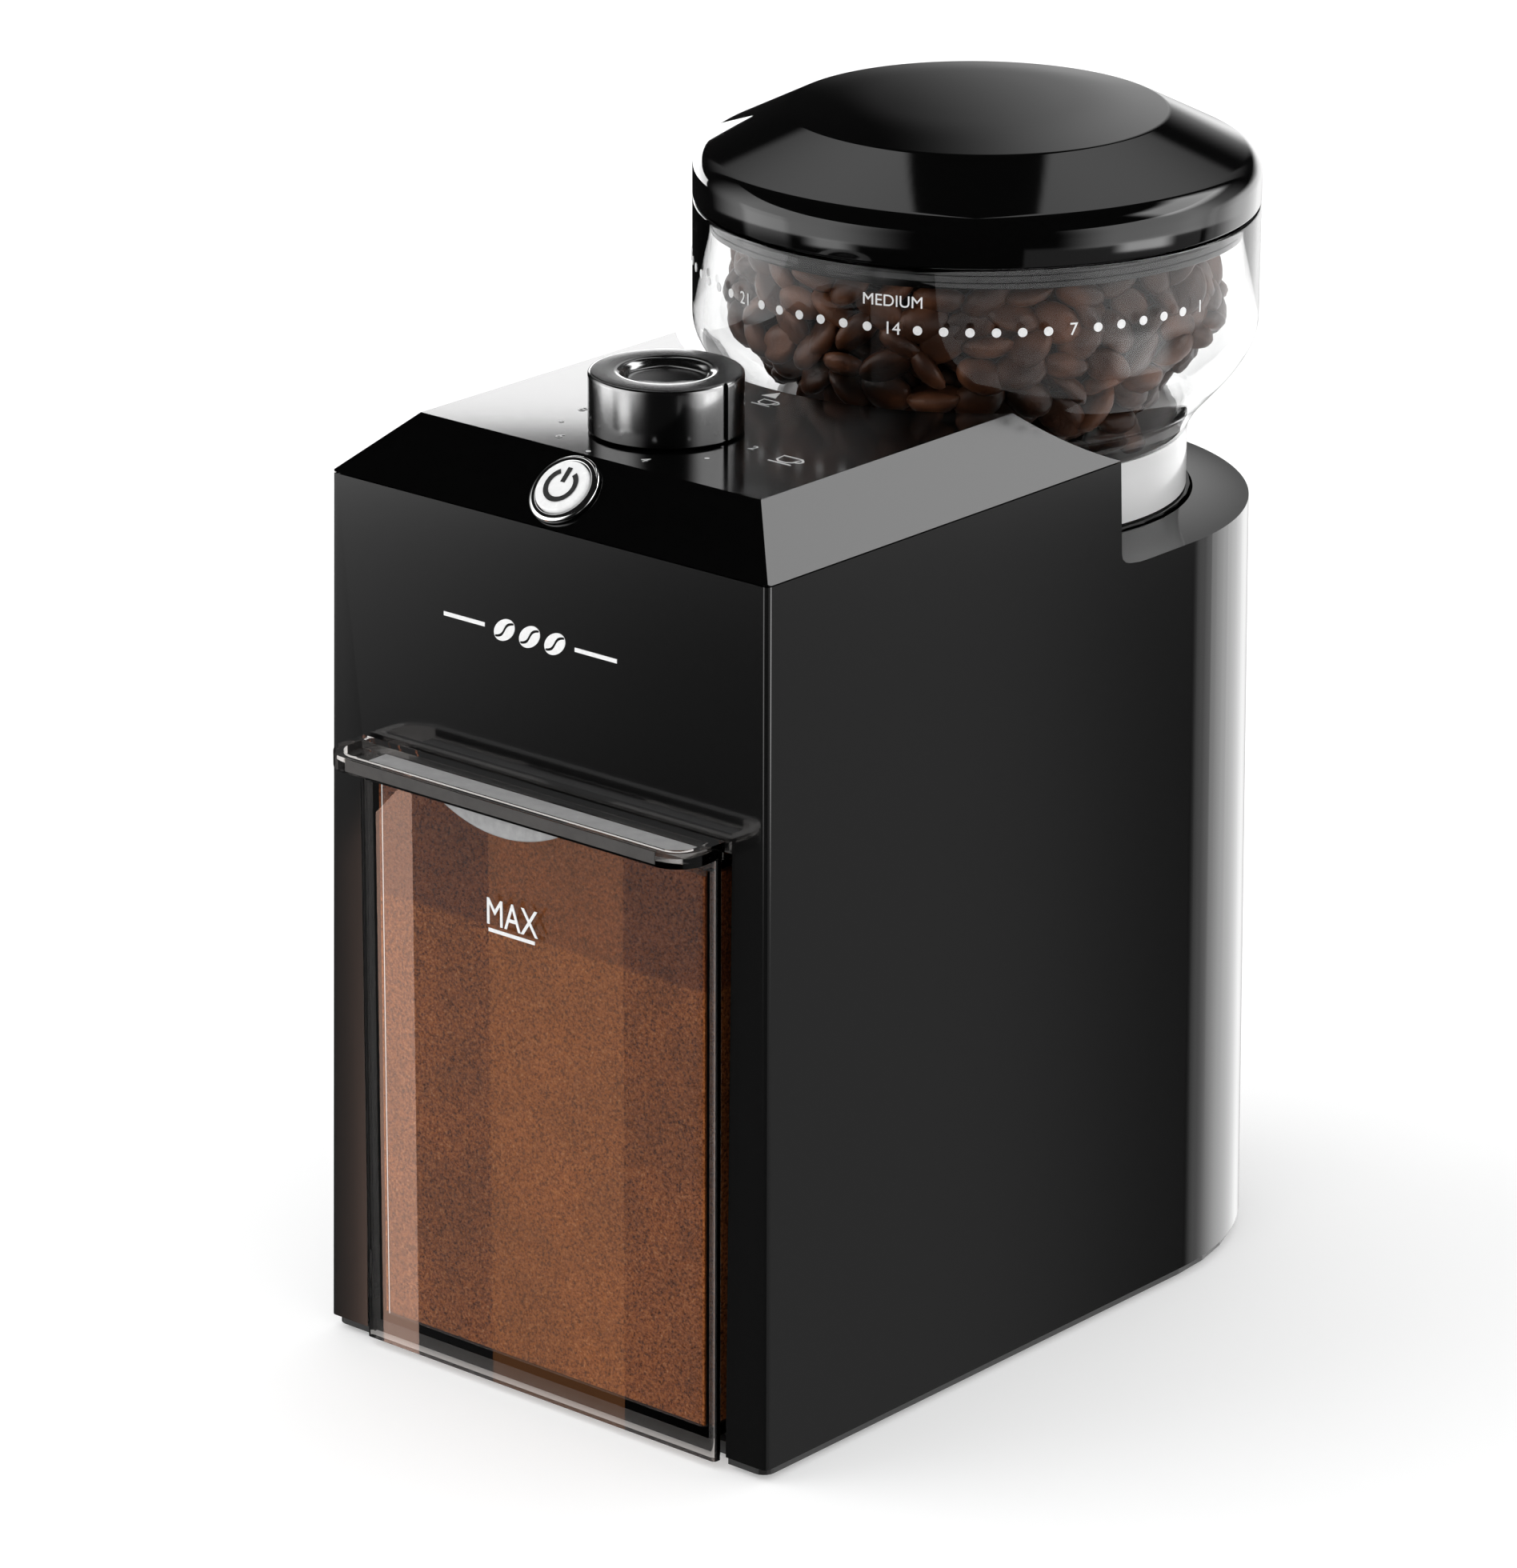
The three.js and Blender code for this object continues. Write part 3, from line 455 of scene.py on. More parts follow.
materials = {
    "casing": grainy("casing", grey(0.004), grey(0.006), (0.07, 0.09), scale=2500, grain=0.0001),
    "cover": grainy("cover", grey(0.0008), grey(0.0012), (0.1, 0.13), scale=400, grain=0.0),
    "lid": grainy("lid", grey(0.001), grey(0.0015), (0.04, 0.06), scale=1200, grain=0.0),
    "dial": grainy("dial", grey(0.28), grey(0.3), (0.15, 0.18), scale=900, grain=0.0, metallic=1.0),
    "inner": grainy("inner plastic", grey(0.012), grey(0.018), (0.35, 0.5), scale=1500, grain=0.003),
    "white plastic": grainy("white plastic", (0.72, 0.7, 0.64), (0.8, 0.78, 0.72), (0.35, 0.5), scale=600),
    "chrome": grainy("chrome", grey(0.78), grey(0.86), (0.06, 0.1), scale=300, grain=0.0, metallic=1.0),
    "button": grainy("button face", grey(0.8), grey(0.88), (0.22, 0.3), scale=700, grain=0.001),
    "burr steel": grainy(
        "burr steel", grey(0.4), grey(0.52), (0.2, 0.34), scale=500, metallic=1.0, stretch=(1, 1, 6)
    ),
    "zinc": grainy("zinc plate", grey(0.6), grey(0.7), (0.22, 0.34), scale=500, grain=0.002, metallic=1.0),
    "can": grainy(
        "drawn steel", grey(0.42), grey(0.52), (0.25, 0.4), scale=400, metallic=1.0, stretch=(1, 1, 0.1)
    ),
    "magnet": grainy("dull black", grey(0.02), grey(0.03), (0.5, 0.7), scale=900, grain=0.01),
    "copper": grainy("copper", (0.6, 0.26, 0.14), (0.72, 0.36, 0.2), (0.25, 0.4), scale=1500, metallic=1.0),
    "bronze": grainy("bronze", (0.5, 0.36, 0.16), (0.6, 0.45, 0.22), (0.35, 0.5), scale=2500, metallic=1.0),
    "nylon": grainy("natural nylon", (0.72, 0.66, 0.5), (0.8, 0.75, 0.6), (0.4, 0.55), scale=500),
    "board": grainy("circuit board", (0.02, 0.1, 0.04), (0.03, 0.14, 0.06), (0.35, 0.5), scale=1200),
    "rubber": grainy("rubber", grey(0.012), grey(0.02), (0.65, 0.85), scale=2200, grain=0.02),
    "carbon": grainy("carbon", grey(0.03), grey(0.045), (0.6, 0.8), scale=2600, grain=0.01),
    "print": grainy("white print", grey(0.78), grey(0.88), (0.4, 0.55), scale=1500, grain=0.0),
    "soft print": grainy("grey print", grey(0.5), grey(0.6), (0.4, 0.55), scale=1500, grain=0.0),
    "dark print": grainy("dark print", grey(0.02), grey(0.035), (0.3, 0.45), scale=1500, grain=0.0),
    "clear": clear_material("clear moulding", (0.985, 0.987, 0.987), (0.0, 0.02), 1.33),
    "smoked": clear_material("smoky moulding", (0.66, 0.63, 0.61), (0.0, 0.01), 1.4),
    # Painted light: the neck gets a whitish diffuse share that stands for the light seen in its clear
    # plastic; the rest stays clear.
    "neck painted light": clear_material("neck with painted light", (0.97, 0.97, 0.97), (0.1, 0.2), 1.3, 0.25),
    # Painted highlight: a light grey that stands for the front light on the smoked lip's trough.
    "lip painted highlight": grainy("lip painted highlight", grey(0.36), grey(0.42), (0.2, 0.3), scale=300, grain=0.001),
    "lip front": grainy("lip front", grey(0.14), grey(0.17), (0.3, 0.4), scale=300, grain=0.001),
    "frosted": grainy("frosted moulding", grey(0.25), grey(0.33), (0.25, 0.4), scale=500, grain=0.002),
    "coffee": ground_coffee("ground coffee"),
    "beans": roasted("roasted beans"),
}
slot_materials = {
    "body_plastic": "casing",
    "gloss_black": "cover",
    "lid_plastic": "lid",
    "dial_plastic": "dial",
    "clear_plastic": "clear",
    "smoked_plastic": "smoked",
    "inner_plastic": "inner",
    "white_plastic": "white plastic",
    "chrome": "chrome",
    "burr_steel": "burr steel",
    "zinc_steel": "zinc",
    "can_steel": "can",
    "magnet_black": "magnet",
    "copper": "copper",
    "bronze": "bronze",
    "gear_plastic": "nylon",
    "board_green": "board",
    "rubber": "rubber",
    "carbon": "carbon",
}
for part in frame["record"]["subparts"]:
    node = frame["nodes"][part["node"]]
    node.data.materials.clear()
    node.data.materials.append(materials[slot_materials[part["material_slot"]]])
frame["nodes"]["lid_gasket"].data.materials[0] = materials["lid"]


# ---- Casing ----
def body_outline(inset):
    half = half_width - inset
    front = inset - body_front
    radius = max(corner_radius - inset, 0.7)
    return [
        *arc(0, 0, half, 0, 180, 96),
        *arc(radius - half, front + radius, radius, 180, 270, 8),
        *arc(half - radius, front + radius, radius, 270, 360, 8),
    ]


def behind_block(low, high, inset=0, fillet=3.0):
    """What is cut away behind the tall front block, with a rounded lower corner."""
    radius = rear_cut + inset
    return lathe("behind block", rounded([(0, low), (radius, low, fillet), (radius, high), (0, high)]), 144)


def rear_corners(low, high, radius=0.9):
    """What rounds off the two thin upright corners where the block's hollow back meets its sides."""
    across = half_width - radius
    along = -math.sqrt((rear_cut + radius) ** 2 - across**2)
    turn = math.degrees(math.atan2(-along, -across))
    rounding = arc(across, along, radius, turn, 0, 10)
    outline = [(half_width + 2, along), (half_width + 2, -20), (40, -20), *rounding]
    right = prism("right corner", outline[::-1], low, high)
    left = prism("left corner", [(-x, y) for x, y in outline], low, high)
    return [right, left]


def casing():
    high = deck_height + 10
    body = prism("casing", body_outline(0), 3, chamfer_bottom - 0.3, leaning=True)
    combine(body, [behind_block(shelf_height, high), *rear_corners(shelf_height + 2.5, high)])
    cavity = prism("cavity", body_outline(wall), -1, shelf_height - wall, leaning=True)
    block = prism("block", body_outline(wall), -1, high, leaning=True)
    combine(block, [behind_block(-5, high + 1, wall, 0)])
    shelf = lathe(
        "shelf",
        [
            (neck_hole - 1, shelf_height - wall - 0.5),
            (half_width - 0.6, shelf_height - wall - 0.5),
            (half_width - 0.6, shelf_height - 0.02),
            (neck_hole - 1, shelf_height + shelf_rise),
        ],
    )
    combine(body, [cavity, block])
    combine(body, [shelf], "UNION")
    inner_front = wall + 1 - body_front
    opening = box("opening", -opening_half, opening_half, -body_front - 10, inner_front, -1, opening_top)
    neck = drum("neck", neck_hole, shelf_height - 10, high)
    backward = Matrix.Translation((0, 0, gland_height)) @ Matrix.Rotation(-math.pi / 2, 4, "X")
    gland = drum("gland", gland_radius, 40, 80, steps=32, place=backward)
    combine(body, [opening, neck, gland])
    soften(body, 0.6)
    dress(body, materials["casing"], "housing", ["body_housing"])


def top_block(inset, low):
    """The tall front block above z = low, with its front and side chamfers, kept inside by inset."""
    rise = deck_height - chamfer_bottom
    slant = math.hypot(rise, chamfer_inset)
    shoulder = chamfer_bottom - inset * (slant - rise) / chamfer_inset
    edge = chamfer_inset + inset * (slant - chamfer_inset) / rise
    top = deck_height - inset
    side = half_width - inset
    front = body_front - inset
    base = low - 5
    across = [
        (-side - 1, base),
        (side + 1, base),
        (side + 1, shoulder),
        (side, shoulder),
        (half_width - edge, top),
        (edge - half_width, top),
        (-side, shoulder),
        (-side - 1, shoulder),
    ]
    along = [
        (-front - 1, base),
        (1, base),
        (1, top),
        (edge - body_front, top),
        (-front, shoulder),
        (-front - 1, shoulder),
    ]
    block = prism("block", body_outline(inset), low, deck_height + 1)
    bars = [bar("across", across, "y", -2 * body_front, 1), bar("along", along, "x", -90, 90)]
    combine(block, bars, "INTERSECT")
    return combine(block, [behind_block(low - 1, deck_height + 2, inset, 0)])


chamfer_tilt = math.atan2(deck_height - chamfer_bottom, chamfer_inset)
button_place = Matrix.Translation(
    (0, chamfer_inset / 2 - body_front, (chamfer_bottom + deck_height) / 2)
) @ Matrix.Rotation(chamfer_tilt, 4, "X")


def cover():
    top = top_block(0, chamfer_bottom)
    top.name = "cover"
    inside = top_block(wall, chamfer_bottom - 1)
    dial_hole = drum("dial hole", 4.9, chamfer_bottom, deck_height + 1, (0, dial_y), 48)
    button_hole = drum("button hole", bezel_radius - 0.45, -wall - 8, 1, steps=64, place=button_place)
    combine(top, [inside, dial_hole, button_hole, *rear_corners(chamfer_bottom - 2, deck_height + 2)])
    soften(top, 0.35)
    dress(top, materials["cover"], "housing", ["top_cover"])


# ---- Grounds drawer ----
def lip_outline(inset, back):
    half = lip_half - inset
    front = inset - lip_front
    radius = 7 - inset
    return [
        (half, back),
        (-half, back),
        *arc(radius - half, front + radius, radius, 180, 270, 10),
        *arc(half - radius, front + radius, radius, 270, 360, 10),
    ]


def drawer():
    panel_back = 2.5 - panel_front
    lip_bottom = lip_top - lip_thickness
    tub = prism("tub", rectangle(-tub_half, tub_half, panel_back - 1, -tub_back, 3), tub_bottom, tub_top)
    face = rectangle(-panel_half, panel_half, -panel_front, panel_back, 1)
    panel = prism("panel", face, panel_bottom, lip_bottom + 1)
    combine(tub, [panel], "UNION")
    inside = prism(
        "inside",
        rectangle(plastic - tub_half, tub_half - plastic, panel_back + 0.2, -tub_back - plastic, 2),
        tub_bottom + plastic,
        tub_top + 20,
    )
    combine(tub, [inside])
    lip = prism("lip", lip_outline(0, 2.3 - panel_front), lip_bottom, lip_top)
    lip_floor = lip_top - lip_trough
    trough = prism("trough", lip_outline(2.2, -panel_front - 0.4), lip_floor, lip_top + 1)
    combine(lip, [trough])
    chord, sag = 17, 4.4
    radius = (chord**2 + sag**2) / (2 * sag)
    half_turn = math.degrees(math.asin(chord / radius))
    middle = radius - sag + lip_bottom
    bow = arc(0, middle, radius, 270 - half_turn, 270 + half_turn, 24)
    pad = bar("finger_pad", bow, "y", 1 - lip_front, 3.6 - lip_front)
    combine(tub, [lip], "UNION")
    tub.name = "container"
    soften(tub, 0.45)
    dress(tub, materials["smoked"], "grounds_drawer", ["grounds_container"])
    soften(pad, 0.4)
    dress(pad, materials["frosted"], "grounds_drawer", ["grounds_container"])
    # Painted highlight: a lighter grey plate on the trough floor stands for the light on the lip's back
    # wall.
    strip = box("lip_painted_highlight", -41, 47.2, -150.2, -144, lip_floor, lip_floor + 0.3)
    soften(strip, 0.1)
    dress(strip, materials["lip painted highlight"], "grounds_drawer")
    edge = box("lip_front", -43, 43, 0.3 - lip_front, 0.6 - lip_front, lip_bottom + 0.4, lip_top - 0.4)
    dress(edge, materials["lip front"], "grounds_drawer")


def grounds():
    """Ground coffee that fills the drawer to its lid, with a slack top."""
    gap = 0.35
    side = tub_half - plastic - gap
    front = 2.7 - panel_front + gap
    back = -tub_back - plastic - gap
    low = tub_bottom + plastic + gap
    columns, rows = 60, 60
    rng = random.Random(4)
    points = []
    for j in range(rows + 1):
        y = front + (back - front) * j / rows
        for i in range(columns + 1):
            x = -side + 2 * side * i / columns
            depth = (y - front) / (back - front)
            hollow = 4 * depth + 3 * math.exp(-(((depth - 0.6) / 0.2) ** 2) - (x / 25) ** 2)
            points.append(at(x, y, 130.5 - hollow + 0.5 * (rng.random() - 0.5)))
    top = len(points)
    edge = [(i, 0) for i in range(columns)] + [(columns, j) for j in range(rows)]
    edge += [(i, rows) for i in range(columns, 0, -1)] + [(0, j) for j in range(rows, 0, -1)]
    row = columns + 1
    faces = [
        (j * row + i, j * row + i + 1, (j + 1) * row + i + 1, (j + 1) * row + i)
        for j in range(rows)
        for i in range(columns)
    ]
    for i, j in edge:
        above = points[j * row + i]
        points.append(Vector((above.x, above.y, low / 1000)))
    n = len(edge)
    for k, (i, j) in enumerate(edge):
        following = (k + 1) % n
        i2, j2 = edge[following]
        faces.append((top + k, top + following, j2 * row + i2, j * row + i))
    faces.append(tuple(top + k for k in range(n))[::-1])
    block = piece_of("ground coffee", points, faces)
    block.name = "ground_coffee"
    smooth(block, 50)
    dress(block, materials["coffee"], "grounds_drawer")


# ---- Hopper, beans and lid ----
hopper_outside = [
    (neck_radius, 173.5),
    (neck_radius, 187.6, 2),
    (49.2, 192.4, 2),
    (57.8, 201.9, 4),
    (hopper_radius, 208.6, 3),
    (hopper_radius, 236.7, 0.8),
]


def hopper():
    inner_neck = neck_radius - hopper_wall
    inside = [
        (hopper_radius - hopper_wall, 236.7, 0.8),
        (hopper_radius - hopper_wall, 209, 3),
        (57.8 - hopper_wall, 202.6, 4),
        (49.2 - hopper_wall, 193.2, 2),
        (inner_neck, 186.5, 1),
        (29.5, 180, 3),
        (29.5, 167, 0.8),
        (32.2, 167, 0.8),
        (32.2, 178.4, 2),
        (inner_neck, 183.6, 1),
        (inner_neck, 173.5, 0.6),
    ]
    bowl = lathe("hopper", rounded(hopper_outside + inside, closed=True), 160)
    bowl.name = "hopper_bowl"
    smooth(bowl, 50)
    dress(bowl, materials["clear"], "hopper", ["hopper"])
    # Painted light: the faces below the neck's top take the whitish finish that stands for light in the
    # clear plastic.
    bowl.data.materials.append(materials["neck painted light"])
    for face in bowl.data.polygons:
        if face.center.z < neck_top / 1000:
            face.material_index = 1


def bean_shape(around=14, along=9):
    """One bean 1 long: a domed back, a flatter face and a curved crease along that face."""
    points = []
    for j in range(1, along):
        polar = math.pi * j / along
        for i in range(around):
            turn = math.tau * i / around
            x = -0.5 * math.cos(polar)
            y = 0.36 * math.sin(polar) * math.cos(turn)
            z = 0.27 * math.sin(polar) * math.sin(turn)
            if z < 0:
                z *= 0.6
                z += 0.1 * math.exp(-(((y - 0.05 * math.sin(5 * x)) / 0.075) ** 2)) * math.sin(polar)
            points.append(Vector((x, y, z)))
    ends = len(points)
    points += [Vector((-0.5, 0, 0)), Vector((0.5, 0, 0))]
    faces = []
    for j in range(along - 2):
        for i in range(around):
            low, high = j * around, (j + 1) * around
            beside = (i + 1) % around
            faces.append((low + i, low + beside, high + beside, high + i))
    last = (along - 2) * around
    for i in range(around):
        faces.append((ends, (i + 1) % around, i))
        faces.append((ends + 1, last + i, last + (i + 1) % around))
    return points, faces


def inside_radius(z):
    """The inside radius of the hopper at a height."""
    steps = [(180, 29.5), (186.5, 44.3), (193.2, 47), (202.6, 55.6), (209, 59.2), (240, 59.2)]
    for (z0, r0), (z1, r1) in zip(steps, steps[1:]):
        if z <= z1:
            return r0 + (r1 - r0) * max(z - z0, 0) / (z1 - z0)
    return steps[-1][1]


def wall_gap(z):
    """How far the middles of the outer beans keep from the hopper's wall at a height."""
    if z > 230:
        return 11
    return 7.8 if z > 208 else 9


def beans():
    """Beans packed in rings against the hopper's wall, round a plain core that nobody sees past."""
    rng = random.Random(11)
    shape, shape_faces = bean_shape()
    points, faces = [], []
    z = 184.0
    while z < 235:
        for ring in range(3):
            radius = inside_radius(z - 2) - wall_gap(z) - 7.5 * ring
            if radius < 4:
                continue
            count = max(3, int(math.tau * radius / 9.4))
            start = rng.random() * math.tau
            for i in range(count):
                turn = start + math.tau * (i + 0.25 * rng.random()) / count
                height = z + rng.uniform(-1.2, 1.2)
                centre = Vector((radius * math.cos(turn), radius * math.sin(turn), height))
                length = rng.uniform(10.5, 12.5)
                facing = Matrix.Rotation(turn + math.pi / 2, 3, "Z")
                tip = Matrix.Rotation(rng.uniform(-0.9, 0.9), 3, "Y")
                roll = Matrix.Rotation(rng.uniform(0, math.tau), 3, "X")
                first = len(points)
                points += [at(*(centre + facing @ (tip @ (roll @ (p * length))))) for p in shape]
                faces += [tuple(first + k for k in face) for face in shape_faces]
        z += 5.6
    pile = piece_of("beans", points, faces)
    smooth(pile, 80)
    dress(pile, materials["beans"], "hopper")
    core = [
        (0, 181.5),
        (22, 181.5),
        (30, 187),
        (33, 194),
        (36, 203),
        (38, 209),
        (38, 229),
        (30, 233),
        (0, 234),
    ]
    heart = lathe("bean core", core, 64)
    heart.name = "bean_core"
    smooth(heart)
    dress(heart, materials["beans"], "hopper")


def lid():
    plug = 58.8
    dome = [
        (hopper_radius, 237.1, 0.5),
        (hopper_radius, 244.4, 1.5),
        (59.4, 247.3, 1.6),
        (41.2, 256.4, 0.5),
        (28, 258.4, 6),
        (14, 259.3, 6),
        (0, 259.6),
    ]
    underside = [
        (0, 257.4),
        (28, 256),
        (40.6, 254),
        (56.4, 246),
        (56.4, 232, 0.5),
        (plug, 232, 0.6),
        (plug, 233.4),
        (plug - 1.2, 233.4),
        (plug - 1.2, 235.2),
        (plug, 235.2),
        (plug, 237.1),
    ]
    cap = lathe("lid", rounded(underside + dome), 160)
    cap.name = "lid"
    smooth(cap, 20)
    dress(cap, materials["lid"], "hopper_lid", ["hopper_lid"])


# ---- Dial and button ----
def dial():
    bottom = deck_height + 0.5
    profile = [
        (0, dial_top - 5.4),
        (3.3, dial_top - 5.4),
        (3.3, bottom + 1),
        (6.4, bottom + 1),
        (6.4, dial_top - 4.8),
        (dial_radius - 2.2, dial_top - 4.8),
        (dial_radius - 2.2, bottom),
        (dial_radius, bottom, 0.3),
        (dial_radius, dial_top - 0.5, 0.5),
        (dial_radius - 0.5, dial_top, 0.4),
        (9.8, dial_top, 1.2),
        (8.6, dial_top - 2, 1.4),
        (0, dial_top - 2.6),
    ]
    knob = lathe("dial", rounded(profile), 96, (0, dial_y))
    reach = (dial_radius - 0.7, dial_radius + 1)
    groove = box("groove", *reach, dial_y - 0.8, dial_y + 0.8, bottom - 1, dial_top + 1)
    combine(knob, [groove])
    smooth(knob, 30)
    dress(knob, materials["dial"], "cup_dial", ["cup_dial"])


def button():
    inner = button_radius + 0.3
    collar = lathe(
        "bezel",
        rounded(
            [
                (inner, -5),
                (bezel_radius - 0.8, -5),
                (bezel_radius - 0.8, 0.3),
                (bezel_radius, 0.3, 0.15),
                (bezel_radius, 1.1, 0.6),
                (bezel_radius - 0.7, 1.5, 0.5),
                (inner, 1.5, 0.3),
            ],
            closed=True,
        ),
        96,
        place=button_place,
    )
    smooth(collar, 40)
    dress(collar, materials["chrome"], "housing", ["button_bezel"])
    stem = [(0, -6), (2.5, -6), (2.5, -2.4)]
    face = [(button_radius, -2.4), (button_radius, 2.2, 0.6), (0, 2.4)]
    cap = lathe("button", rounded(stem + face), 96, place=button_place)
    smooth(cap, 40)
    dress(cap, materials["button"], "power_button", ["power_button"])


# ---- Printed marks ----
def ribbon(path, width, z=0.0, closed=False):
    """A flat band along a path, as (points, faces) about the origin."""
    points, faces = [], []
    count = len(path)
    for i, spot in enumerate(path):
        here = Vector(spot)
        before = Vector(path[i - 1]) if closed or i else here
        after = Vector(path[(i + 1) % count]) if closed or i < count - 1 else here
        along = (after - before).normalized()
        side = Vector((-along.y, along.x)) * width / 2
        points += [(*(here + side), z), (*(here - side), z)]
    steps = count if closed else count - 1
    for i in range(steps):
        a, b = 2 * i, 2 * ((i + 1) % count)
        faces.append((a + 1, b + 1, b, a))
    return points, faces


def dot(x, y, radius, steps=20):
    rim = arc(x, y, radius, 0, 360 - 360 / steps, steps - 1)
    return [(px, py, 0.0) for px, py in rim], [tuple(range(steps))]


def lettering(text, height):
    """Plain text as (points, faces), its middle at the origin and its capitals of the given height."""
    curve = bpy.data.curves.new("text", "FONT")
    curve.body = text
    curve.align_x = "CENTER"
    curve.align_y = "CENTER"
    curve.size = height / 0.7
    holder = bpy.data.objects.new("text", curve)
    bpy.context.scene.collection.objects.link(holder)
    bpy.context.view_layer.update()
    mesh = bpy.data.meshes.new_from_object(holder.evaluated_get(bpy.context.evaluated_depsgraph_get()))
    points = [tuple(v.co) for v in mesh.vertices]
    faces = [tuple(p.vertices) for p in mesh.polygons]
    bpy.data.objects.remove(holder, do_unlink=True)
    return points, faces


def moved(drawing, x, y, turn=0.0):
    points, faces = drawing
    c, s = math.cos(math.radians(turn)), math.sin(math.radians(turn))
    return [(x + c * px - s * py, y + s * px + c * py, pz) for px, py, pz in points], faces


def merged(*drawings):
    points, faces = [], []
    for more_points, more_faces in drawings:
        start = len(points)
        points += more_points
        faces += [tuple(start + i for i in face) for face in more_faces]
    return points, faces


def printed(name, drawing, placed, material, body, thickness=0.12):
    """Lays a flat drawing on a surface as a thin raised print. placed(u, v, height) gives a point on it."""
    points, faces = drawing
    piece = piece_of(name, [placed(u, v, 0.02) for u, v, _ in points], faces)
    raised = piece.modifiers.new("thickness", "SOLIDIFY")
    raised.thickness = thickness / 1000
    raised.offset = 1
    return dress(piece, materials[material], body)


def on_hopper(u, v, height):
    """u runs round the hopper in degrees, v is the height above the worktop."""
    radius = hopper_radius + height
    turn = math.radians(u)
    return at(radius * math.cos(turn), radius * math.sin(turn), v)


def on_front(u, v, height):
    lean = draft * (chamfer_bottom - v)
    return at(u, -body_front - lean - height, v)


def on_panel(u, v, height):
    return at(u, -panel_front - height, v)


def on_deck(u, v, height):
    return at(u, v, deck_height + height)


def on_button(u, v, height):
    return at(*(button_place @ Vector((u, v, 2.36 + height))))


def hopper_scale():
    """Numbers and dots round the hopper: the setting that points at the arrow on the deck is in use."""
    step = 5.14
    around = 180 / (math.pi * hopper_radius)
    marks = []
    for number in range(1, 29):
        turn = arrow_turn + (14 - number) * step
        if number % 7 == 0 or number == 1:
            mark = lettering(str(number), 2.7)
        else:
            mark = dot(0, 0, 1.0)
        points = [(turn + u * around, dots_height + v, w) for u, v, w in mark[0]]
        marks.append((points, mark[1]))
    word = lettering("MEDIUM", 2.5)
    marks.append(([(arrow_turn + u * around, word_height + v, w) for u, v, w in word[0]], word[1]))
    printed("hopper_scale", merged(*marks), on_hopper, "print", "hopper")


def bean_icon(length):
    """A coffee bean seen from above: two halves with a curved gap between them."""
    halves = []
    for side in (-1, 1):
        rim = [
            (length / 2 * math.cos(a), side * length * 0.33 * math.sin(a))
            for a in [math.pi * i / 16 for i in range(17)]
        ]
        crease = []
        for i in range(13):
            wave = 0.07 * math.sin(math.tau * i / 12)
            crease.append((length * 0.93 * (i / 12 - 0.5), length * (side * 0.045 - wave)))
        outline = [*rim, *crease]
        halves.append(([(x, y, 0.0) for x, y in outline], [tuple(range(len(outline)))[::side]]))
    return merged(*halves)


def front_mark():
    """Three beans in a row between two short lines."""
    level = 170.4
    beans_row = [moved(bean_icon(6.4), x, level, 35) for x in (-11, -4, 3)]
    lines = [ribbon([(start, level), (end, level)], 0.9) for start, end in ((-28, -16.5), (8.5, 20))]
    printed("front_mark", merged(*beans_row, *lines), on_front, "print", "housing")


def fill_mark():
    letters = lettering("MAX", 6)
    narrow = ([(0.8 * x, y, z) for x, y, z in letters[0]], letters[1])
    word = moved(narrow, -6.2, 109)
    line = ribbon([(-12.7, 105.2), (0.3, 105.2)], 0.8)
    printed("fill_mark", merged(word, line), on_panel, "print", "grounds_drawer")


def cup_icon(size):
    bowl = [(-0.5, 0.35), (-0.42, -0.2), (-0.2, -0.38), (0.2, -0.38), (0.42, -0.2), (0.5, 0.35)]
    handle = arc(0.52, 0.05, 0.2, -100, 100, 8)
    outline = ribbon([(x * size, y * size) for x, y in bowl], 0.09 * size, closed=True)
    loop = ribbon([(x * size, y * size) for x, y in handle], 0.09 * size)
    saucer = ribbon([(-0.6 * size, -0.55 * size), (0.6 * size, -0.55 * size)], 0.09 * size)
    return merged(outline, loop, saucer)


def deck_marks():
    """Cup numbers round the dial, a cup at each end of them and the arrow for the grind scale."""
    marks = []
    numbers = {182: "8", -153: None, -126: "6", -94: None, -60: "4", -27: None, 4: "2"}
    circle = 22.5
    for turn, number in numbers.items():
        x = circle * math.cos(math.radians(turn))
        y = dial_y + circle * math.sin(math.radians(turn))
        marks.append(moved(lettering(number, 2.4), x, y) if number else dot(x, y, 0.55))
    marks.append(moved(cup_icon(5), 33.1, dial_y))
    marks.append(moved(cup_icon(4), 3, -73))
    arrow = ([(-1.9, -2.2, 0.0), (1.9, -2.2, 0.0), (0, 1.6, 0.0)], [(0, 1, 2)])
    marks.append(moved(arrow, 0.7, -67.6))
    printed("deck_marks", merged(*marks), on_deck, "soft print", "housing", 0.08)


def power_symbol():
    width = 1.15
    ring = ribbon(arc(0, 0, 3.5, 122, 418, 40), width)
    stroke = ribbon([(0, 0.7), (0, 4.3)], width)
    printed("power_symbol", merged(ring, stroke), on_button, "dark print", "power_button", 0.08)


casing()
cover()
drawer()
grounds()
hopper()
beans()
lid()
dial()
button()
hopper_scale()
front_mark()
fill_mark()
deck_marks()
power_symbol()


# ---- Floor, light and camera ----
def pale_floor():
    material = grainy("floor", grey(0.78), grey(0.8), (0.8, 0.9), scale=3, grain=0.0)
    shader = material.node_tree.nodes["Principled BSDF"]
    shader.inputs["Emission Color"].default_value = (1, 1, 1, 1)
    shader.inputs["Emission Strength"].default_value = 0.3
    return material


def floor():
    size = 30
    ground = piece_of(
        "floor", [(-size, -size, 0), (size, -size, 0), (size, size, 0), (-size, size, 0)], [(0, 1, 2, 3)]
    )
    ground.data.materials.append(pale_floor())
    ground.visible_glossy = False


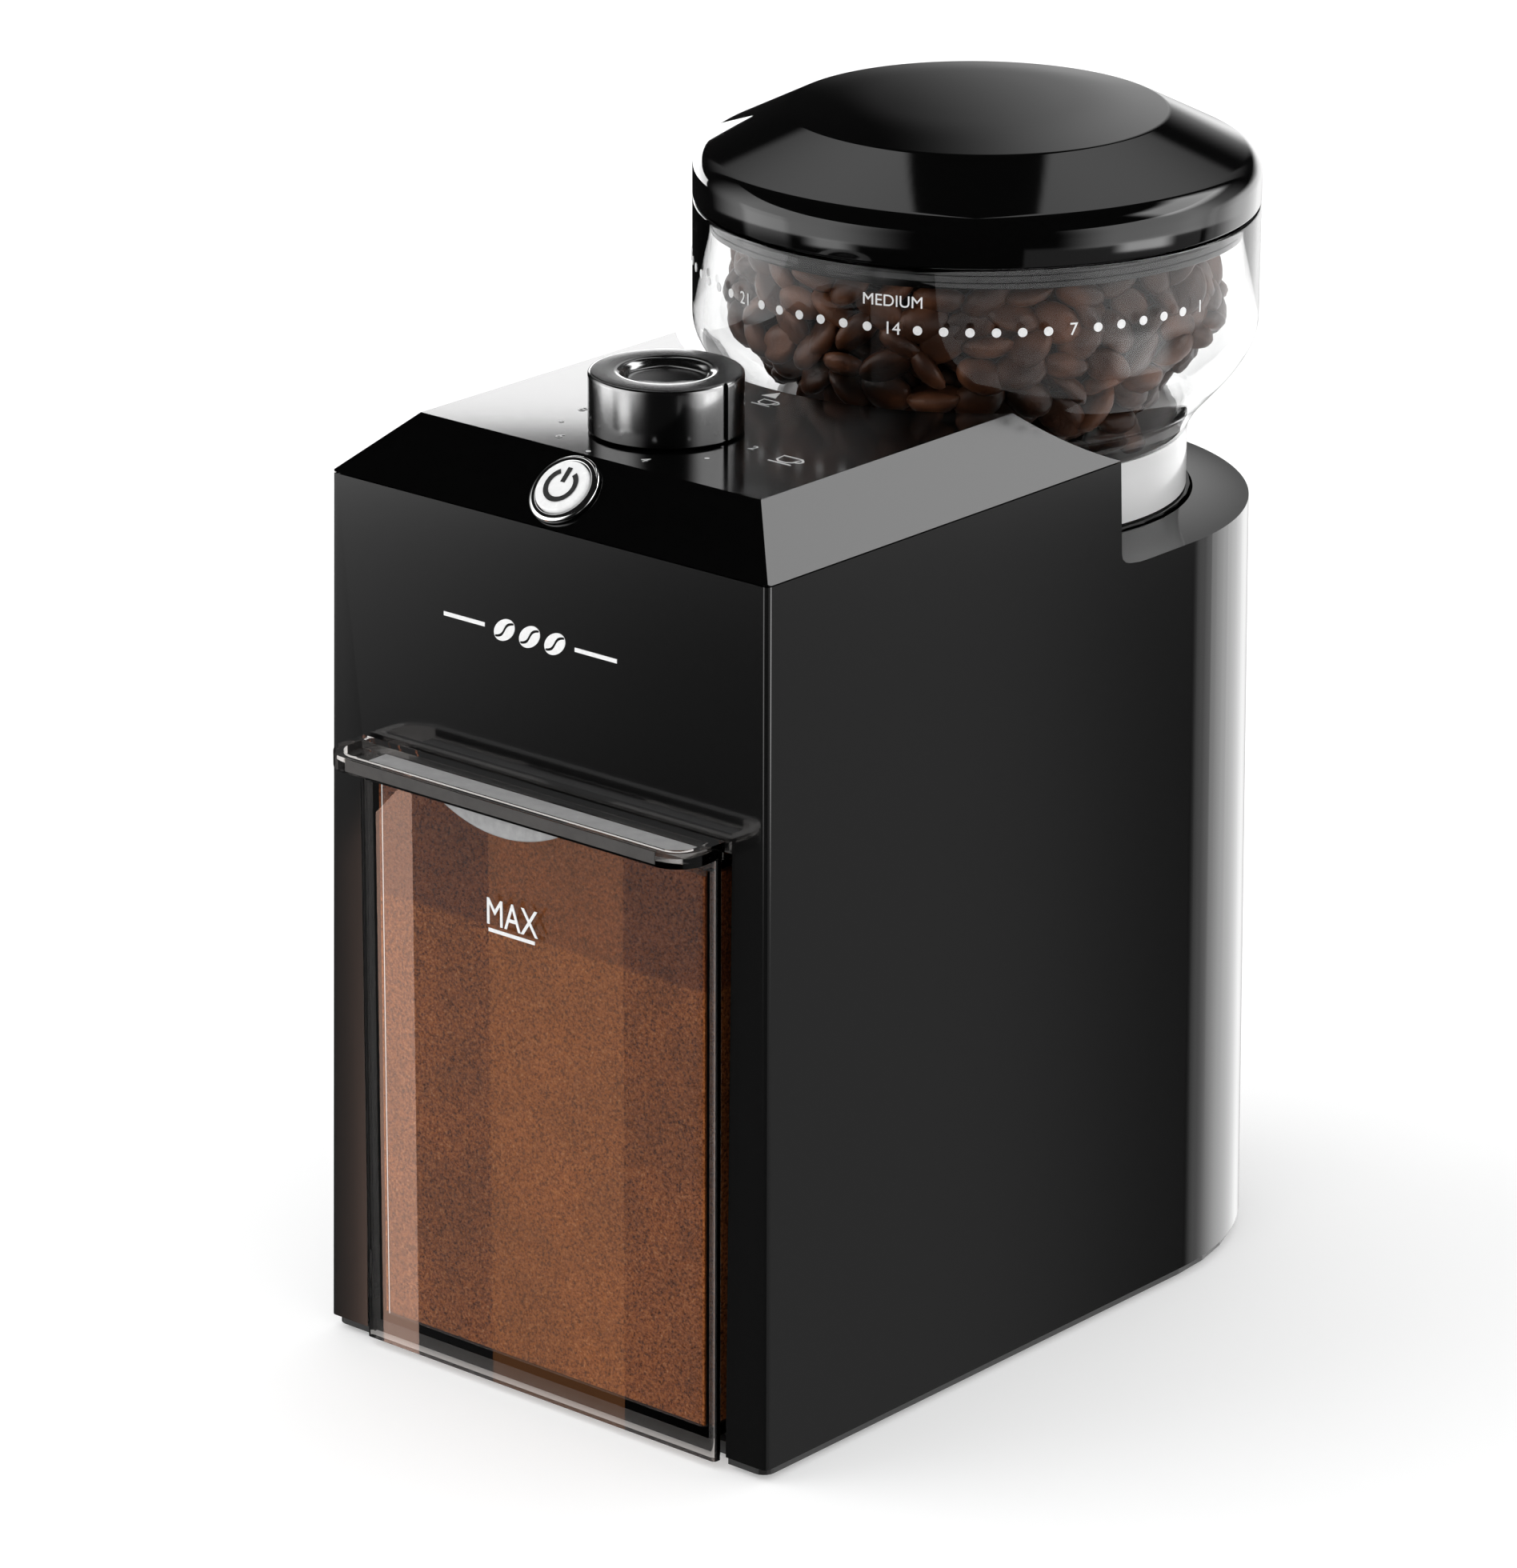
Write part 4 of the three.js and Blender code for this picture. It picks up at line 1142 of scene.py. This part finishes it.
def studio():
    """Soft boxes round the object as a polished surface mirrors them, and even white light for the rest.

    Each box: its middle and half width round the compass, how soft its sides are, the same three for its
    height, and its brightness. Angles are in degrees; 0 is +X and 90 is +Y.
    """
    boxes = {
        "behind the lid": (121.5, 4.5, 8, 12, 26, 6, 0.95),
        "back right, high": (58, 24, 6, 36, 11, 4, 4.0),
        "back, low": (92, 25.5, 14, -19, 20, 6, 2.25),
        "back right, low": (58.5, 2.6, 1.8, -19, 20, 6, 0.3),
        "right, low": (10, 41.9, 0.9, -27, 12, 0.7, 0.28),
        "right": (24, 30, 14, 7, 22.8, 0.3, 2.3),
        "right, far": (62, 14, 14, 7, 22.8, 0.3, 0.7),
        "right streak": (21, 12, 5, -17, 1.4, 0.6, 5.5),
        "front, low": (-146, 12.7, 2.9, -23, 13, 1.5, 0.25),
        "front": (-146, 12.7, 2.9, -8, 9.3, 2.1, 0.85),
        "left": (-131, 36, 20, 7, 22.8, 0.3, 2.25),
        "left streak": (-113, 9, 6, -17, 1.4, 0.6, 3.2),
        "left, high": (158.5, 6.8, 1.2, 70, 34, 26, 1.2),
        "right, high": (99.5, 6.3, 1.2, 70, 34, 26, 1.15),
    }
    world = bpy.data.worlds.new("studio")
    bpy.context.scene.world = world
    world.use_nodes = True
    nodes, links = world.node_tree.nodes, world.node_tree.links

    def computed(kind, *values):
        node = nodes.new("ShaderNodeMath")
        node.operation = kind
        for socket, value in zip(node.inputs, values):
            if isinstance(value, (int, float)):
                socket.default_value = value
            else:
                links.new(value, socket)
        return node.outputs[0]

    def within(value, half, softness):
        edge = nodes.new("ShaderNodeMapRange")
        edge.interpolation_type = "SMOOTHSTEP"
        edge.inputs["From Min"].default_value = half - softness
        edge.inputs["From Max"].default_value = half + softness
        edge.inputs["To Min"].default_value = 1
        edge.inputs["To Max"].default_value = 0
        links.new(computed("ABSOLUTE", value), edge.inputs["Value"])
        return edge.outputs["Result"]

    split = nodes.new("ShaderNodeSeparateXYZ")
    links.new(nodes.new("ShaderNodeTexCoord").outputs["Generated"], split.inputs["Vector"])
    x, y, z = split.outputs
    height = computed("DEGREES", computed("ARCSINE", z))
    total = 0.01
    for middle, half, softness, level, half_level, level_softness, brightness in boxes.values():
        c, s = math.cos(math.radians(middle)), math.sin(math.radians(middle))
        ahead = computed("ADD", computed("MULTIPLY", x, c), computed("MULTIPLY", y, s))
        aside = computed("SUBTRACT", computed("MULTIPLY", y, c), computed("MULTIPLY", x, s))
        turn = computed("DEGREES", computed("ARCTAN2", aside, ahead))
        here = computed(
            "MULTIPLY",
            within(turn, half, softness),
            within(computed("SUBTRACT", height, level), half_level, level_softness),
        )
        total = computed("ADD", computed("MULTIPLY", here, brightness), total)

    paths = nodes.new("ShaderNodeLightPath")
    mirrored = computed("GREATER_THAN", paths.outputs["Glossy Depth"], 0.5)
    direct = computed("LESS_THAN", paths.outputs["Diffuse Depth"], 0.5)
    strength = nodes.new("ShaderNodeMix")
    links.new(computed("MULTIPLY", mirrored, direct), strength.inputs["Factor"])
    strength.inputs["A"].default_value = 1.0
    links.new(total, strength.inputs["B"])
    background = nodes["Background"]
    background.inputs["Color"].default_value = (1, 1, 1, 1)
    links.new(strength.outputs["Result"], background.inputs["Strength"])
    world.cycles.sampling_method = "NONE"

    lamp = bpy.data.lights.new("key", "SUN")
    lamp.energy = 0.5
    lamp.angle = math.radians(40)
    key = bpy.data.objects.new("key", lamp)
    key.rotation_euler = (math.radians(42), 0, math.radians(-50))
    key.visible_glossy = False
    bpy.context.scene.collection.objects.link(key)


def light_card(name, corners, colour, strength):
    """A soft light panel that is seen only mirrored in polished surfaces."""
    card = piece_of(name, [at(*corner) for corner in corners], [(0, 1, 2, 3)])
    material = bpy.data.materials.new(name)
    material.use_nodes = True
    nodes = material.node_tree.nodes
    light = nodes.new("ShaderNodeEmission")
    light.inputs["Color"].default_value = (*colour, 1)
    light.inputs["Strength"].default_value = strength
    material.node_tree.links.new(light.outputs["Emission"], nodes["Material Output"].inputs["Surface"])
    card.data.materials.append(material)
    card.visible_camera = False
    card.visible_diffuse = False
    card.visible_shadow = False
    card.visible_transmission = False


def light_cards():
    """Two upright strips before the drawer's clear front, and a low panel behind the deck's left half."""
    distance = 400
    y = -panel_front - distance
    low, high = -246, -57
    narrow = [(-427.5, y, low), (-427.5, y, high - 18), (-413, y, high - 3), (-413, y, low)]
    light_card("narrow strip", narrow, (1.0, 0.63, 0.49), 5.6)
    wide = [(-383, y, low), (-383, y, high), (-331, y, high), (-331, y, low)]
    light_card("wide strip", wide, (1.0, 0.42, 0.18), 1.5)
    facing = math.radians(132.6)
    ahead = Vector((math.cos(facing), math.sin(facing)))
    aside = Vector((math.sin(facing), -math.cos(facing)))
    left, right = ahead * 90 - aside * 145, ahead * 90 - aside * 57
    low, high = deck_height + 18, deck_height + 49
    panel = [(*left, low), (*left, high), (*right, high), (*right, low)]
    light_card("deck panel", panel, (1.0, 1.0, 1.0), 4.0)


def camera():
    """A long lens in front, to the right and above, turned a hair about its own line of sight."""
    place = Vector((0.9512, -1.1386, 0.6401))
    look = Vector((-0.6124, 0.7165, -0.3341))
    roll = math.radians(0.199)
    data = bpy.data.cameras.new("camera")
    data.sensor_width = 36
    data.lens = 166.6
    data.clip_end = 100
    holder = bpy.data.objects.new("camera", data)
    bpy.context.scene.collection.objects.link(holder)
    turn = look.to_track_quat("-Z", "Y").to_matrix() @ Matrix.Rotation(roll, 3, "Z")
    holder.matrix_world = Matrix.Translation(place) @ turn.to_4x4()
    bpy.context.scene.camera = holder


floor()
studio()
light_cards()
camera()
bpy.context.scene.view_settings.view_transform = "Standard"
